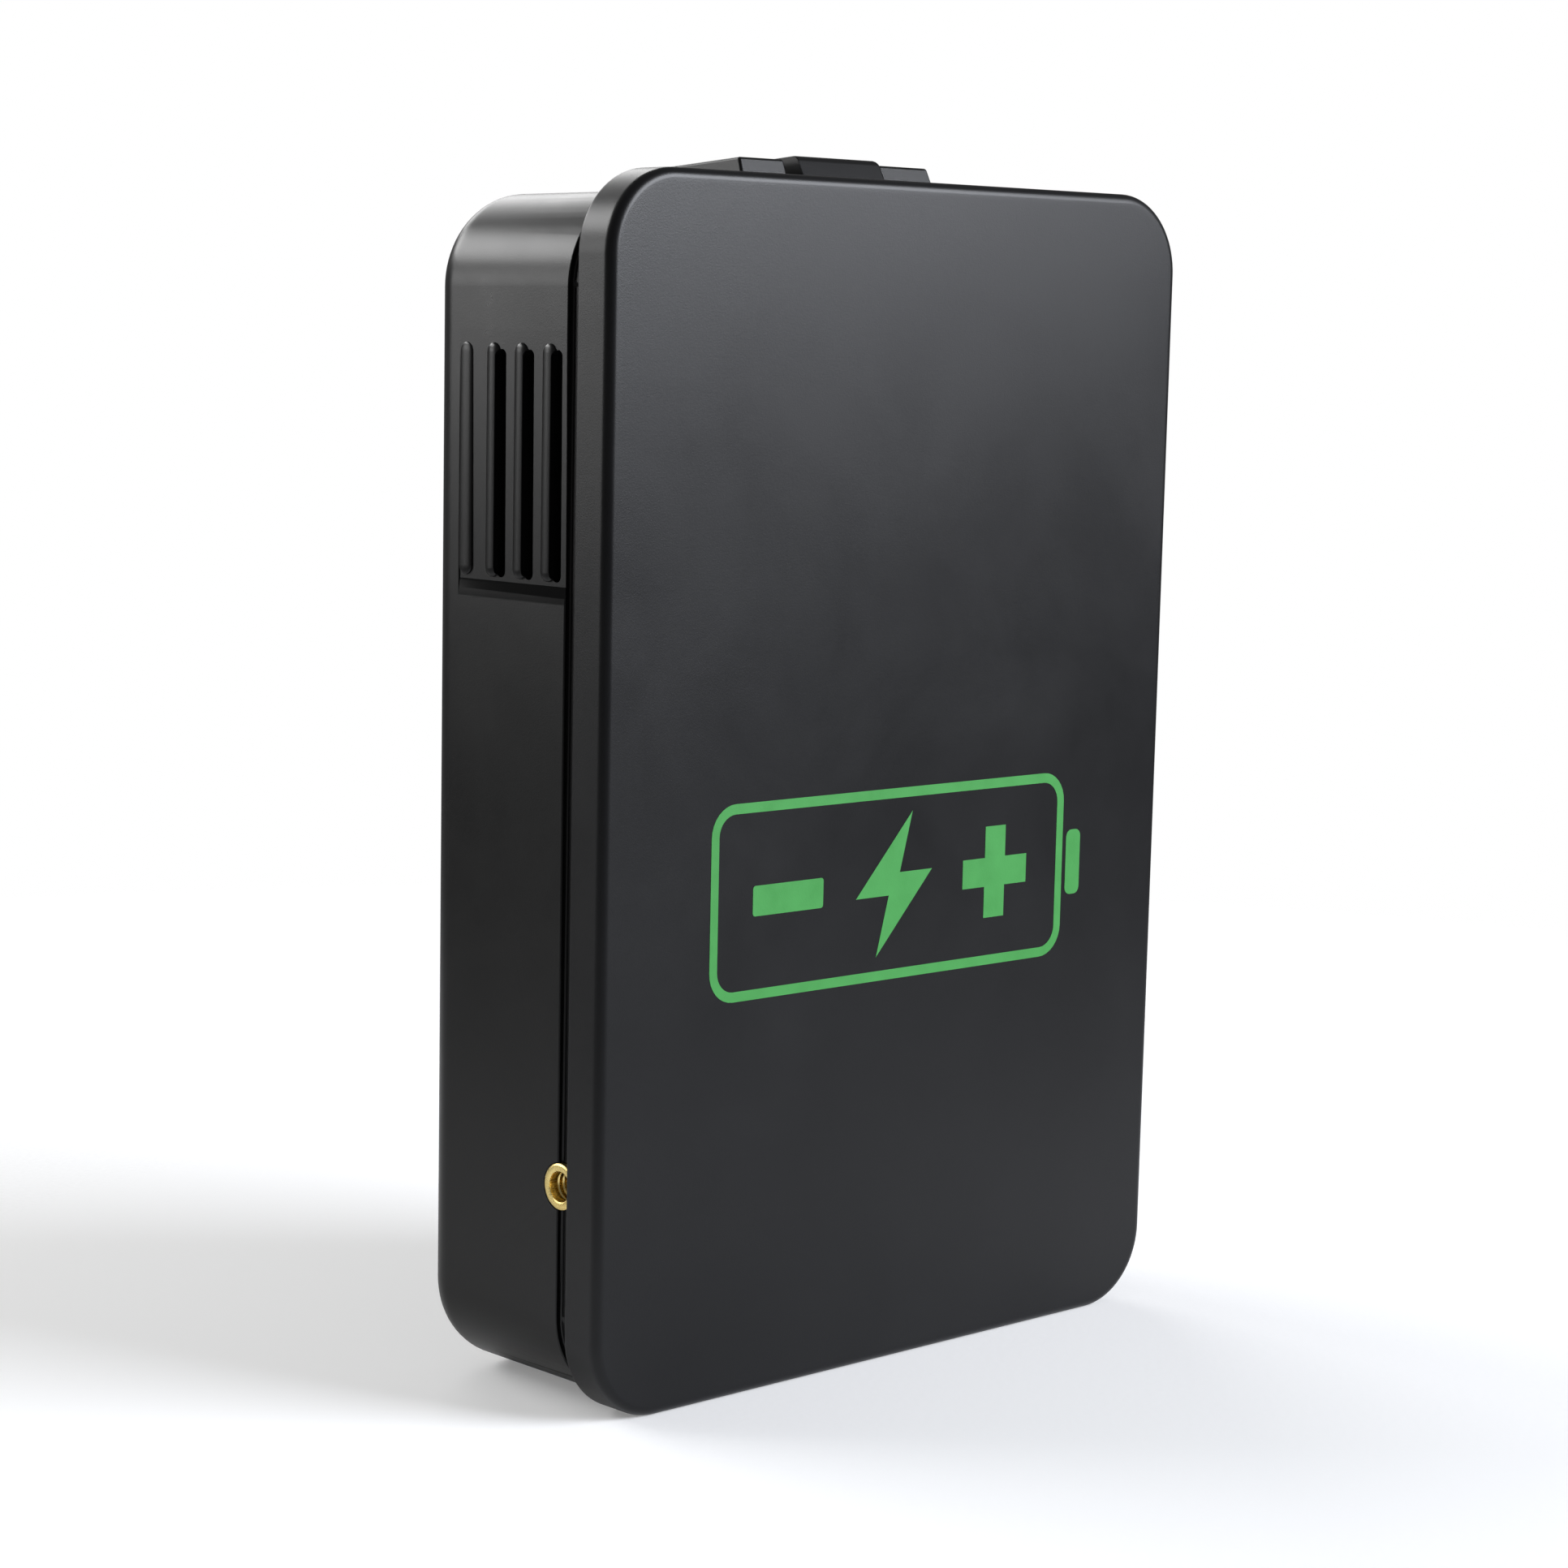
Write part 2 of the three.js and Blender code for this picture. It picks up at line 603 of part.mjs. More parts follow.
function buildUsbSocket(z, halfLength, halfThickness, wall, tongue) {
  const inX = usb.boardX + 2;
  const outX = caseHalfWidth - 2;
  const outline = (inset) => {
    const halfY = halfThickness - inset;
    const halfZ = halfLength - inset;
    return roundedOutline(usb.midY - halfY, usb.midY + halfY, z - halfZ, z + halfZ, 0.6);
  };
  const shell = slabX(outline(0), inX, outX, 0, 2).subtract(slabX(outline(wall), inX + 3, outX + 2, 0, 2));
  const y0 = usb.midY - tongue / 2;
  return shell.add(box(inX + 1, outX - 1.5, y0, y0 + tongue, z - halfLength + 1.4, z + halfLength - 1.4));
}
addPiece('usb_a_socket', buildUsbSocket(usb.typeAZ, 6.8, 3, 0.5, 1.6), ...steel);
addPiece('usb_c_socket', buildUsbSocket(usb.typeCZ, 4.7, 1.8, 0.4, 0.8), ...steel);

function buildUsbBoard() {
  return slabX(roundedOutline(-14, 8, 129, 164, 1), usb.boardX, usb.boardX + 1.6, 0, 2);
}
addPiece('usb_board', buildUsbBoard(), ...boardGreen);

// ---------- lamp ----------
function buildLampLens() {
  const { x, y, radius } = lamp;
  const top = caseTopZ;
  const profile = [
    [0, top - 1.8], [radius - 1, top - 1.8], [radius, top - 1.2], [radius, top - 0.4], [radius - 0.5, top],
    [0, top],
  ];
  return turned('z', profile, [x, y]);
}
addPiece('lamp_lens', buildLampLens(), 0xdfe6ea, 0.05, 0);

function buildLampReflector() {
  const rim = caseTopZ - 2.8;
  const profile = [[2, rim - 6.2], [3, rim - 6.2], [6.8, rim - 0.2], [6.8, rim], [6, rim], [2, rim - 5.2]];
  return turned('z', profile, [lamp.x, lamp.y]);
}
addPiece('lamp_reflector', buildLampReflector(), 0xd8dadd, 0.1, 1);

function buildLampBoard() {
  const { x, y } = lamp;
  const face = caseTopZ - 9.4;
  const plate = bar('z', 6.5, face - 1.6, face, [x, y], 24);
  return plate.add(box(x - 1.1, x + 1.1, y - 1.1, y + 1.1, face - 0.6, face + 0.8));
}
addPiece('lamp_board', buildLampBoard(), 0xe8e8e4, 0.5, 0);

// ---------- battery ----------
function buildCell(index) {
  const y0 = cell.firstY + index * cell.step;
  const outline = roundedOutline(cell.x0, cell.x1, y0, y0 + cell.thickness, 2.4);
  const pouch = slabZ(outline, cell.z0, cell.z1, 1, 2, 1);
  const tabs = [cell.x0 + 8, cell.x1 - 8].map((x) => {
    const middle = y0 + cell.thickness / 2;
    return box(x - 4, x + 4, middle - 0.4, middle + 0.4, cell.z1 - 1, cell.z1 + 5);
  });
  return union([pouch, ...tabs]);
}
for (let i = 0; i < cell.count; i += 1) addPiece(`cell_${i + 1}`, buildCell(i), 0x8f979c, 0.35, 0.6);

function buildCellTray() {
  const left = cell.x0 - 2;
  const right = cell.x1 + 2;
  const outer = box(left, right, -19.4, 12, 16.8, 62);
  const inner = box(cell.x0 - gap, cell.x1 + gap, -21, 14, cell.z0 - gap, 64);
  return outer.subtract(inner);
}
addPiece('cell_tray', buildCellTray(), ...darkPlastic);

function buildBmsBoard() {
  const plate = slabZ(roundedOutline(13, 54, -17, 10, 1.5), bmsZ, bmsZ + 1.6, 0, 2);
  const chips = [22, 30, 38, 46].map((x) => box(x - 2.6, x + 2.6, -15, -8, bmsZ + 1, bmsZ + 3.6));
  return union([plate, ...chips]);
}
addPiece('battery_board', buildBmsBoard(), ...boardGreen);

function buildLead(start, bend, contactX) {
  const top = jumpSocket.bottom - 7 - gap;
  const [x, y] = start;
  const rise = [[x, y, bmsZ + 2], [x, y, bmsZ + 13], bend];
  return tube([...rise, [contactX, socketMidY, top - 5], [contactX, socketMidY, top]], 2);
}
addPiece('lead_positive', buildLead([17, 6], [11, 6.5, 148], contact.x), 0xb3262a, 0.5, 0);
addPiece('lead_negative', buildLead([24, -3], [11, -6, 150], -contact.x), ...darkPlastic);

// ---------- compressor motor ----------
function buildMotorCan() {
  const { x0, x1, radius } = motor;
  const profile = [
    [2, x0], [radius - 1, x0], [radius, x0 + 1], [radius, x1 - 1.2], [radius - 1.2, x1], [2, x1],
  ];
  return turned('x', profile, [machineY, motor.z], 32);
}
addPiece('motor_can', buildMotorCan(), ...steel);

function buildMotorEndCap() {
  const cap = bar('x', 12.4, motor.x0 - 1.8, motor.x0 - gap, [machineY, motor.z], 32);
  const holes = [bar('x', 2, -60, -40, [machineY, motor.z], 20)];
  for (const side of [-1, 1]) holes.push(bar('x', 2.2, -60, -40, [machineY + side * 7.5, motor.z], 16));
  return without(cap, holes);
}
addPiece('motor_end_cap', buildMotorEndCap(), ...darkPlastic);
addPiece('motor_shaft', bar('x', motor.shaft, -57.3, -4.6, [machineY, motor.z], 20), ...steel);

function buildFan() {
  const hub = bar('x', 3.4, -57, -52.5, [machineY, motor.z], 20);
  const blades = [];
  for (let i = 0; i < 7; i += 1) {
    const blade = new THREE.BoxGeometry(0.9, 4.8, 9);
    blade.rotateZ(0.7).translate(0, 0, 7.2).rotateX((2 * Math.PI * i) / 7);
    blades.push(solid(blade.translate(-54.75, machineY, motor.z)));
  }
  return union([hub, ...blades]).subtract(bar('x', motor.shaft + gap, -60, -50, [machineY, motor.z], 20));
}
addPiece('cooling_fan', buildFan(), 0x2f3133, 0.5, 0);

// ---------- gear train and crank ----------
function buildGear(teeth, toothUp, from, to, centreZ, boreRadius) {
  const geometry = slabGeometry(gearOutline(teeth, toothUp), from, to, 0, 1, 1);
  geometry.rotateX(Math.PI / 2).rotateZ(Math.PI / 2).translate(0, machineY, centreZ);
  return solid(geometry).subtract(bar('x', boreRadius, from - 2, to + 2, [machineY, centreZ], 20));
}
addPiece('pinion', buildGear(pinionTeeth, false, -11.2, -5.2, motor.z, motor.shaft + gap), ...brass);

function buildCrankGear() {
  const gear = buildGear(crankTeeth, true, -11, -7, crankZ, 2.3);
  const cutters = [bar('x', 2.1, -20, 0, [machineY, crankZ - crankRadius], 20)];
  for (const turn of [1, 2, 3, 4, 5]) {
    const angle = (turn * Math.PI) / 3 - Math.PI / 2;
    const y = machineY + 7.6 * Math.cos(angle);
    cutters.push(bar('x', 2, -20, 0, [y, crankZ + 7.6 * Math.sin(angle)], 16));
  }
  return without(gear, cutters);
}
addPiece('crank_gear', buildCrankGear(), 0xd9d6cc, 0.5, 0);
addPiece('crank_pin', bar('x', 1.8, -10.9, -3.1, [machineY, crankZ - crankRadius], 20), ...steel);
addPiece('crank_shaft', bar('x', 2, -15.4, -3.4, [machineY, crankZ], 20), ...steel);

// ---------- compressor frame, piston and head ----------
function buildCompressorFrame() {
  const { x, bore, outer, bottom, top } = cylinder;
  const wall = slabX(roundedOutline(-16.5, 11, 112, 166, 3), -15.5, -12.7, 0, 2);
  const shelf = box(-15.5, 10, -15, 9, top - 3, top);
  const barrel = bar('z', outer, bottom, top, [x, machineY], 32);
  const fins = [98, 102, 106].map((z) => bar('z', outer + 1.2, z, z + 1, [x, machineY], 32));
  const lugs = lugPlaces.map((place) => bar('z', lug.radius, bottom, top - 2, place, 16));
  const cutters = [
    bar('z', bore, bottom - 1, top + 1, [x, machineY], 32),
    bar('x', 3.2, -20, -10, [machineY, motor.z], 24),
    bar('x', 2.3, -20, -10, [machineY, crankZ], 20),
    ...lugPlaces.map((place) => bar('z', pilotRadius, bottom - 1, bottom + 9, place, 12)),
  ];
  return without(union([wall, shelf, barrel, ...fins, ...lugs]), cutters);
}
addPiece('compressor_frame', buildCompressorFrame(), 0x9a9da0, 0.5, 1);

function buildRod() {
  const rodX = [-2.6, 1.6];
  const bigZ = crankZ - crankRadius;
  const parts = [
    bar('x', 4.6, ...rodX, [machineY, bigZ], 24),
    bar('x', 3.4, ...rodX, [machineY, wristZ], 24),
    box(...rodX, machineY - 2, machineY + 2, wristZ, bigZ),
  ];
  const holes = [
    bar('x', 2.1, -10, 10, [machineY, bigZ], 20),
    bar('x', 1.9, -10, 10, [machineY, wristZ], 20),
  ];
  return without(union(parts), holes);
}
addPiece('connecting_rod', buildRod(), 0xc9ccce, 0.4, 1);

function buildPiston() {
  const radius = cylinder.bore - gap;
  const bottom = wristZ - 6;
  const profile = [
    [0, bottom], [radius - 0.4, bottom], [radius, bottom + 0.4], [radius, bottom + 2],
    [radius - 0.8, bottom + 2], [radius - 0.8, bottom + 3.2], [radius, bottom + 3.2], [radius, wristZ + 5],
    [0, wristZ + 5],
  ];
  const cutters = [
    box(-3, 2, machineY - 5.5, machineY + 5.5, wristZ - 3.8, wristZ + 8),
    bar('x', 1.9, -20, 20, [machineY, wristZ], 20),
  ];
  return without(turned('z', profile, [cylinder.x, machineY], 32), cutters);
}
addPiece('piston', buildPiston(), 0xb9bcbf, 0.35, 1);
addPiece('wrist_pin', bar('x', 1.6, -7.4, 6.4, [machineY, wristZ], 20), ...steel);

function buildCylinderHead() {
  const { x, bottom } = cylinder;
  const top = bottom - gap;
  const cap = bar('z', 10.5, top - 6, top, [x, machineY], 32);
  const lugs = lugPlaces.map((place) => bar('z', lug.radius, top - 4, top, place, 16));
  const nipple = bar('z', 1.6, 78.5, top - 5, [x, machineY], 20);
  const cutters = [
    bar('z', 6, top - 2, top + 1, [x, machineY], 24),
    bar('z', 0.8, 70, top, [x, machineY], 12),
    ...lugPlaces.map((place) => bar('z', pilotRadius, 80, 100, place, 12)),
    ...lugPlaces.map((place) => bar('z', 2.7, 80, top - 4, place, 16)),
  ];
  return without(union([cap, ...lugs, nipple]), cutters);
}
addPiece('cylinder_head', buildCylinderHead(), 0x9a9da0, 0.5, 1);

function buildHeadScrew(place) {
  const top = cylinder.bottom - gap;
  return bar('z', 2.3, top - 6.4, top - 4 - gap, place, 16).add(bar('z', 1.2, top - 5, top + 8, place, 12));
}
lugPlaces.forEach((place, i) => addPiece(`head_screw_${i + 1}`, buildHeadScrew(place), ...steel));

function buildAirHose() {
  const points = [
    [cylinder.x, machineY, 87.5],
    [cylinder.x, machineY, 77],
    [-2.5, -4, 62],
    [-9, -7.5, 48],
    [-22, -10.5, 39],
    [-36, outlet.y, outlet.z],
    [-50, outlet.y, outlet.z],
  ];
  return tube(points, 2.9, 1.95, 24);
}
addPiece('air_hose', buildAirHose(), ...rubber);

export default pack;
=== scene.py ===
"""Jump starter pack with a built-in tyre compressor, seen from its front left side."""
import math

import bmesh
import bpy
from mathutils import Matrix, Vector


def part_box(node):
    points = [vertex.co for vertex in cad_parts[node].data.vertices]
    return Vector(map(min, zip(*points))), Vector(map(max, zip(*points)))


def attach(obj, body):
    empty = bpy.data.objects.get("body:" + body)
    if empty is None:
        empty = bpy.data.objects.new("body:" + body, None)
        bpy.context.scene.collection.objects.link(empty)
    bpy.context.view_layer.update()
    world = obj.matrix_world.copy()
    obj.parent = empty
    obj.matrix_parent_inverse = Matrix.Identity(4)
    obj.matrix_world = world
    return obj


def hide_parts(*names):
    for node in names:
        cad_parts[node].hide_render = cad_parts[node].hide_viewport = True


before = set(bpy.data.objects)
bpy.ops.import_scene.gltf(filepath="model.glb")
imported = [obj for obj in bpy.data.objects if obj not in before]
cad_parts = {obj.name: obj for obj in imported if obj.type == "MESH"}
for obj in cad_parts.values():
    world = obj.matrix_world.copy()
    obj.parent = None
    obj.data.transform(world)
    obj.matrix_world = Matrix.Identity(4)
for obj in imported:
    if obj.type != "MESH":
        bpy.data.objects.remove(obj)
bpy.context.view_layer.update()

MM = 0.001
BODY = "pack_body"

# Sizes that the boxes of the nodes don't give, in millimetres.
CLEARANCE = 0.3    # between two pieces
HOLD = 0.3         # an extra loop this far from a rounding keeps the flat beside it flat
CORNER_STEPS = 20  # faces around each corner of the cover and the case
ROUND_END = 0.98   # share of half a slot's width that its corners take, so that no edge has zero length

# front cover
COVER = {"corner": 13.0, "edge": 1.6, "rear": -14.6, "rear_edge": 0.3, "wall": 2.2}
SEAT_INSET = 1.8   # the ledge in the cover that the case's rim meets
LIP_INSET = 0.8    # the inside of the cover's lip around that rim

# rear case
CASE = {"corner": 14.5, "edge": 6.0, "wall": 2.5, "top": 186.8, "front": -16.1, "rim": 0.3}
SEAM = {"width": 3.2, "depth": 1.0}
POD = {"half": 21.0, "draft": 1.0, "front": -7.0, "ramp": 3.4, "back": 18.5, "top": 193.3, "fall": 1.6}
POD_GAP = {"left": -11.4, "right": 9.8, "floor": 187.6}
VENT = {"count": 3, "first": -9.2, "pitch": 6.6, "low": 128.5, "high": 163.0, "width": 2.0}
BEAD = {"offset": 1.9, "radius": 1.5, "height": 0.6, "last_height": 0.3, "foot": 1.2}
# The hollow around the vents: "deepest" and "lip" are how far below them it is deepest and ends.
VENT_FIELD = {"front": -30.0, "back": 14.2, "depth": 0.2, "lip": 3.5, "deepest": 0.6}
SCREW = {"boss": 4.4, "boss_front": 5.4, "hole": 3.2, "hole_front": 13.0}
SCREW_PLACES = [(x, z) for z in (12, 178) for x in (-52, 52)]
RECESS = {"display": 1.3, "ports": 1.7, "feet": 2.1}  # depths
DISPLAY_LEDGE = 1.7  # width of the ledge under the display window's rim
LAMP_HOLE = 6.3      # radius

# pieces on the case
FLAP = {"front": -7.6, "ramp": 3.2, "back": 15.2, "top": 194.0, "fall": 1.5, "bottom": 188.4}
HINGE = {"y": 14.6, "z": 190.0, "barrel": 1.9, "pin_hole": 1.2}
OUTLET = {"passage": 0.8, "body": 2.8, "bore": 2.3, "hole": 3.1, "flange": 0.8, "inner_end": -54.0}
KEYS = {  # x, z and radius
    "power_button": (0, 76, 7.0),
    "minus_button": (-16, 98, 4.5),
    "mode_button": (0, 98, 4.5),
    "plus_button": (16, 98, 4.5),
}
KEY = {"bottom": 17.6, "flange": 1.0, "flange_top": 19.0, "top": 22.0, "hollow": 0.55}
KEY_CROWN = [(0, 0.7), (0.15, 0.3), (0.5, 0.05), (0.9, 0), (1.7, 0.15), (2.6, 0.4)]  # inset and drop
KEY_DISH = [(0.4, -1.0), (0.7, -0.6), (2.0, -0.05), (3.2, 1.0)]  # distance from the key and rise

# prints
MARK = {"x": -1.0, "z": 79.0, "width": 80.0, "height": 31.0, "corner": 5.0, "line": 1.6}
MARK_TERMINAL = {"gap": 0.9, "width": 3.5, "height": 11.0, "corner": 1.2}
MARK_SIGNS = {"offset": 23.5, "arm": 7.6, "half": 2.4}
HALF_BOLT = [(3.8, 11.6), (-8.6, -1.8), (-1.2, -1.8)]
MARK_INK = {"raised": 0.04, "sunk": 0.03}
SYMBOL = {"near": 21.4, "far": 21.68, "line": 0.7}

FLOOR_RADII = (400, 1000, 1800, 2600)

# Camera and softboxes, in metres and degrees.
CAMERA = {"lens": 81.5, "sensor": 36.0, "shift": (0.06, 0.059)}
CAMERA_PLACE = (-0.4044, -0.4177, 0.1647)
CAMERA_TURN = (-42.22, -8.58, -1.02)  # yaw, pitch and roll
SOFTBOX_TARGET = Vector((0, 0, 0.1))
SOFTBOXES = [  # name, azimuth from -Y towards +X, elevation, distance, size, radiance, colour
    ("softbox_front_right", 34, 22, 1.5, (0.9, 0.8), 15, (0.95, 0.98, 1.05)),
    ("softbox_back_left", 207, 30, 1.5, (1.1, 0.42), 8.5, (1, 1, 1)),
    ("softbox_back_right", 158, 30, 1.5, (0.8, 0.5), 4, (1, 1, 1)),
    ("softbox_left_low", 224, 9, 1.6, (0.75, 0.42), 4.5, (1, 1, 1)),
]


# ---------- camera and lights ----------
def camera_matrix(place, yaw, pitch, roll):
    turn = Matrix.Rotation(yaw, 3, "Z") @ Matrix.Rotation(pitch, 3, "X") @ Matrix.Rotation(roll, 3, "Y")
    right, forward, up = turn.col
    axes = Matrix((right, up, -forward)).transposed().to_4x4()
    return Matrix.Translation(place) @ axes


def add_camera():
    data = bpy.data.cameras.new("camera")
    data.lens = CAMERA["lens"]
    data.sensor_width = CAMERA["sensor"]
    data.shift_x, data.shift_y = CAMERA["shift"]
    data.clip_start = 0.01
    camera = bpy.data.objects.new("camera", data)
    bpy.context.scene.collection.objects.link(camera)
    angles = [math.radians(angle) for angle in CAMERA_TURN]
    camera.matrix_world = camera_matrix(Vector(CAMERA_PLACE), *angles)
    bpy.context.scene.camera = camera


def add_softbox(name, azimuth, elevation, distance, size, radiance, colour):
    """Soft light whose radiance sets how bright it looks in a reflection."""
    data = bpy.data.lights.new(name, "AREA")
    data.shape = "RECTANGLE"
    data.size, data.size_y = size
    data.energy = radiance * math.pi * size[0] * size[1]
    data.color = colour
    light = bpy.data.objects.new(name, data)
    bpy.context.scene.collection.objects.link(light)
    a, e = math.radians(azimuth), math.radians(elevation)
    away = Vector((math.sin(a) * math.cos(e), -math.cos(a) * math.cos(e), math.sin(e)))
    light.location = SOFTBOX_TARGET + away * distance
    light.rotation_mode = "QUATERNION"
    light.rotation_quaternion = away.to_track_quat("Z", "Y")
    light.visible_camera = False


def add_world():
    """White where the camera sees past the floor, and a dim even light otherwise."""
    world = bpy.data.worlds.new("studio")
    bpy.context.scene.world = world
    world.use_nodes = True
    tree = world.node_tree
    dim = tree.nodes["Background"]
    dim.inputs["Color"].default_value = (1, 1, 1, 1)
    dim.inputs["Strength"].default_value = 0.15
    white = tree.nodes.new("ShaderNodeBackground")
    white.inputs["Color"].default_value = (1, 1, 1, 1)
    white.inputs["Strength"].default_value = 1.0
    seen = tree.nodes.new("ShaderNodeLightPath")
    mix = tree.nodes.new("ShaderNodeMixShader")
    tree.links.new(seen.outputs["Is Camera Ray"], mix.inputs["Fac"])
    tree.links.new(dim.outputs["Background"], mix.inputs[1])
    tree.links.new(white.outputs["Background"], mix.inputs[2])
    tree.links.new(mix.outputs["Shader"], tree.nodes["World Output"].inputs["Surface"])


# ---------- materials ----------
class Nodes:
    """A material's node tree, with short calls for the nodes used here."""

    def __init__(self, name):
        self.material = bpy.data.materials.new(name)
        self.material.use_nodes = True
        self.tree = self.material.node_tree
        self.shader = self.tree.nodes["Principled BSDF"]
        self.coordinates = self.tree.nodes.new("ShaderNodeTexCoord").outputs["Object"]

    def set(self, **values):
        for key, value in values.items():
            self.shader.inputs[key.replace("_", " ")].default_value = value

    def link(self, source, target):
        self.tree.links.new(source, target)

    def scaled(self, scale):
        node = self.tree.nodes.new("ShaderNodeMapping")
        node.inputs["Scale"].default_value = scale
        self.link(self.coordinates, node.inputs["Vector"])
        return node.outputs["Vector"]

    def noise(self, scale, detail=3.0, roughness=0.55, vector=None, distortion=0.0):
        node = self.tree.nodes.new("ShaderNodeTexNoise")
        node.inputs["Scale"].default_value = scale
        node.inputs["Detail"].default_value = detail
        node.inputs["Roughness"].default_value = roughness
        node.inputs["Distortion"].default_value = distortion
        self.link(vector or self.coordinates, node.inputs["Vector"])
        return node.outputs["Fac"]

    def cells(self, scale, feature="F1"):
        node = self.tree.nodes.new("ShaderNodeTexVoronoi")
        node.feature = feature
        node.inputs["Scale"].default_value = scale
        self.link(self.coordinates, node.inputs["Vector"])
        return node.outputs["Distance"]

    def span(self, value, low, high, from_low=0.3, from_high=0.7):
        """Maps a value's range onto low to high, and holds it there."""
        node = self.tree.nodes.new("ShaderNodeMapRange")
        limits = {"From Min": from_low, "From Max": from_high, "To Min": low, "To Max": high}
        for key, number in limits.items():
            node.inputs[key].default_value = number
        self.link(value, node.inputs["Value"])
        return node.outputs["Result"]

    def blend(self, factor, first, second):
        node = self.tree.nodes.new("ShaderNodeMix")
        node.data_type = "RGBA"
        node.inputs[6].default_value = (*first, 1)
        node.inputs[7].default_value = (*second, 1)
        self.link(factor, node.inputs["Factor"])
        return node.outputs[2]

    def bump(self, height, distance, strength=1.0):
        node = self.tree.nodes.new("ShaderNodeBump")
        node.inputs["Distance"].default_value = distance
        node.inputs["Strength"].default_value = strength
        self.link(height, node.inputs["Height"])
        return node.outputs["Normal"]

    def finish(self, colour, roughness, normal):
        for value, key in ((colour, "Base Color"), (roughness, "Roughness"), (normal, "Normal")):
            self.link(value, self.shader.inputs[key])
        return self.material


def plastic(name, dark, light, rough, grain=0.012, cloud=28, specular=0.5):
    """Moulded plastic: cloudy colour and gloss, and a fine spark-eroded grain."""
    nodes = Nodes(name)
    nodes.set(Specular_IOR_Level=specular)
    clouds = nodes.noise(cloud, 4)
    fine = nodes.noise(5200, 2)
    smudge = nodes.noise(32, 5, 0.6, distortion=0.4)
    colour = nodes.blend(nodes.span(clouds, 0, 1), dark, light)
    gloss = nodes.span(smudge, rough - 0.03, rough + 0.04)
    return nodes.finish(colour, gloss, nodes.bump(fine, grain * MM))


def metal(name, dark, light, rough, streak=(300, 300, 300), grain=0.004):
    """Metal with fine tool marks along one direction and slight tarnish."""
    nodes = Nodes(name)
    nodes.set(Metallic=1.0)
    marks = nodes.noise(4, 3, vector=nodes.scaled(streak))
    tarnish = nodes.noise(160, 4)
    colour = nodes.blend(nodes.span(tarnish, 0, 1), dark, light)
    return nodes.finish(colour, nodes.span(marks, rough - 0.07, rough + 0.08), nodes.bump(marks, grain * MM))


def rubber(name, colour=(0.012, 0.012, 0.013), rough=0.62):
    """Rubber with a fine grit and a little pale dust."""
    nodes = Nodes(name)
    nodes.set(Specular_IOR_Level=0.35)
    dust = nodes.noise(420, 6, 0.7)
    grit = nodes.cells(2600)
    pale = tuple(c * 1.9 + 0.004 for c in colour)
    mixed = nodes.blend(nodes.span(dust, 0, 1, 0.45, 0.75), colour, pale)
    return nodes.finish(mixed, nodes.span(dust, rough - 0.06, rough + 0.08), nodes.bump(grit, 0.02 * MM))


def circuit_board(name):
    """Green solder mask over a maze of raised tracks."""
    nodes = Nodes(name)
    brick = nodes.tree.nodes.new("ShaderNodeTexBrick")
    brick.inputs["Scale"].default_value = 260
    brick.inputs["Mortar Size"].default_value = 0.04
    brick.offset = 0.37
    nodes.link(nodes.coordinates, brick.inputs["Vector"])
    tracks = brick.outputs["Fac"]
    colour = nodes.blend(tracks, (0.006, 0.05, 0.02), (0.02, 0.13, 0.05))
    return nodes.finish(colour, nodes.span(nodes.noise(300), 0.3, 0.42), nodes.bump(tracks, 0.03 * MM))


def foil(name):
    """Crinkled battery foil."""
    nodes = Nodes(name)
    nodes.set(Metallic=1.0)
    crinkle = nodes.cells(110, feature="DISTANCE_TO_EDGE")
    fine = nodes.noise(900, 4)
    colour = nodes.blend(nodes.span(fine, 0, 1), (0.42, 0.43, 0.44), (0.55, 0.56, 0.57))
    return nodes.finish(colour, nodes.span(fine, 0.25, 0.4), nodes.bump(crinkle, 0.2 * MM, 0.5))


def clear(name, tint, rough):
    """Clear moulded plastic with faint flow lines."""
    nodes = Nodes(name)
    nodes.set(Transmission_Weight=1.0, IOR=1.49)
    flow = nodes.noise(60, 3, distortion=0.8)
    colour = nodes.blend(nodes.span(flow, 0, 1), tint, tuple(min(1, c * 1.05) for c in tint))
    return nodes.finish(colour, nodes.span(flow, rough, rough + 0.03), nodes.bump(flow, 0.02 * MM))


def print_ink(name, colour):
    """Screen-printed ink: slightly uneven, with the dots of the screen."""
    nodes = Nodes(name)
    dots = nodes.cells(3400)
    wear = nodes.noise(240, 5)
    mixed = nodes.blend(nodes.span(wear, 0, 1), colour, tuple(c * 1.12 for c in colour))
    return nodes.finish(mixed, nodes.span(wear, 0.42, 0.55), nodes.bump(dots, 0.006 * MM))


def floor_paper(name):
    """Pale paper that fades out away from the object and glows a little for the camera only."""
    nodes = Nodes(name)
    nodes.set(Specular_IOR_Level=0.1, Emission_Color=(1, 1, 1, 1))
    paper = nodes.noise(900, 4)
    tone = nodes.blend(nodes.span(paper, 0, 1), (0.84, 0.84, 0.84), (0.88, 0.88, 0.88))
    distance = nodes.tree.nodes.new("ShaderNodeVectorMath")
    distance.operation = "LENGTH"
    nodes.link(nodes.coordinates, distance.inputs[0])
    nodes.link(nodes.span(distance.outputs["Value"], 1, 0, 0.14, 0.5), nodes.shader.inputs["Alpha"])
    seen = nodes.tree.nodes.new("ShaderNodeLightPath").outputs["Is Camera Ray"]
    nodes.link(nodes.span(seen, 0, 0.2, 0, 1), nodes.shader.inputs["Emission Strength"])
    return nodes.finish(tone, nodes.span(paper, 0.85, 0.95), nodes.bump(paper, 0.02 * MM))


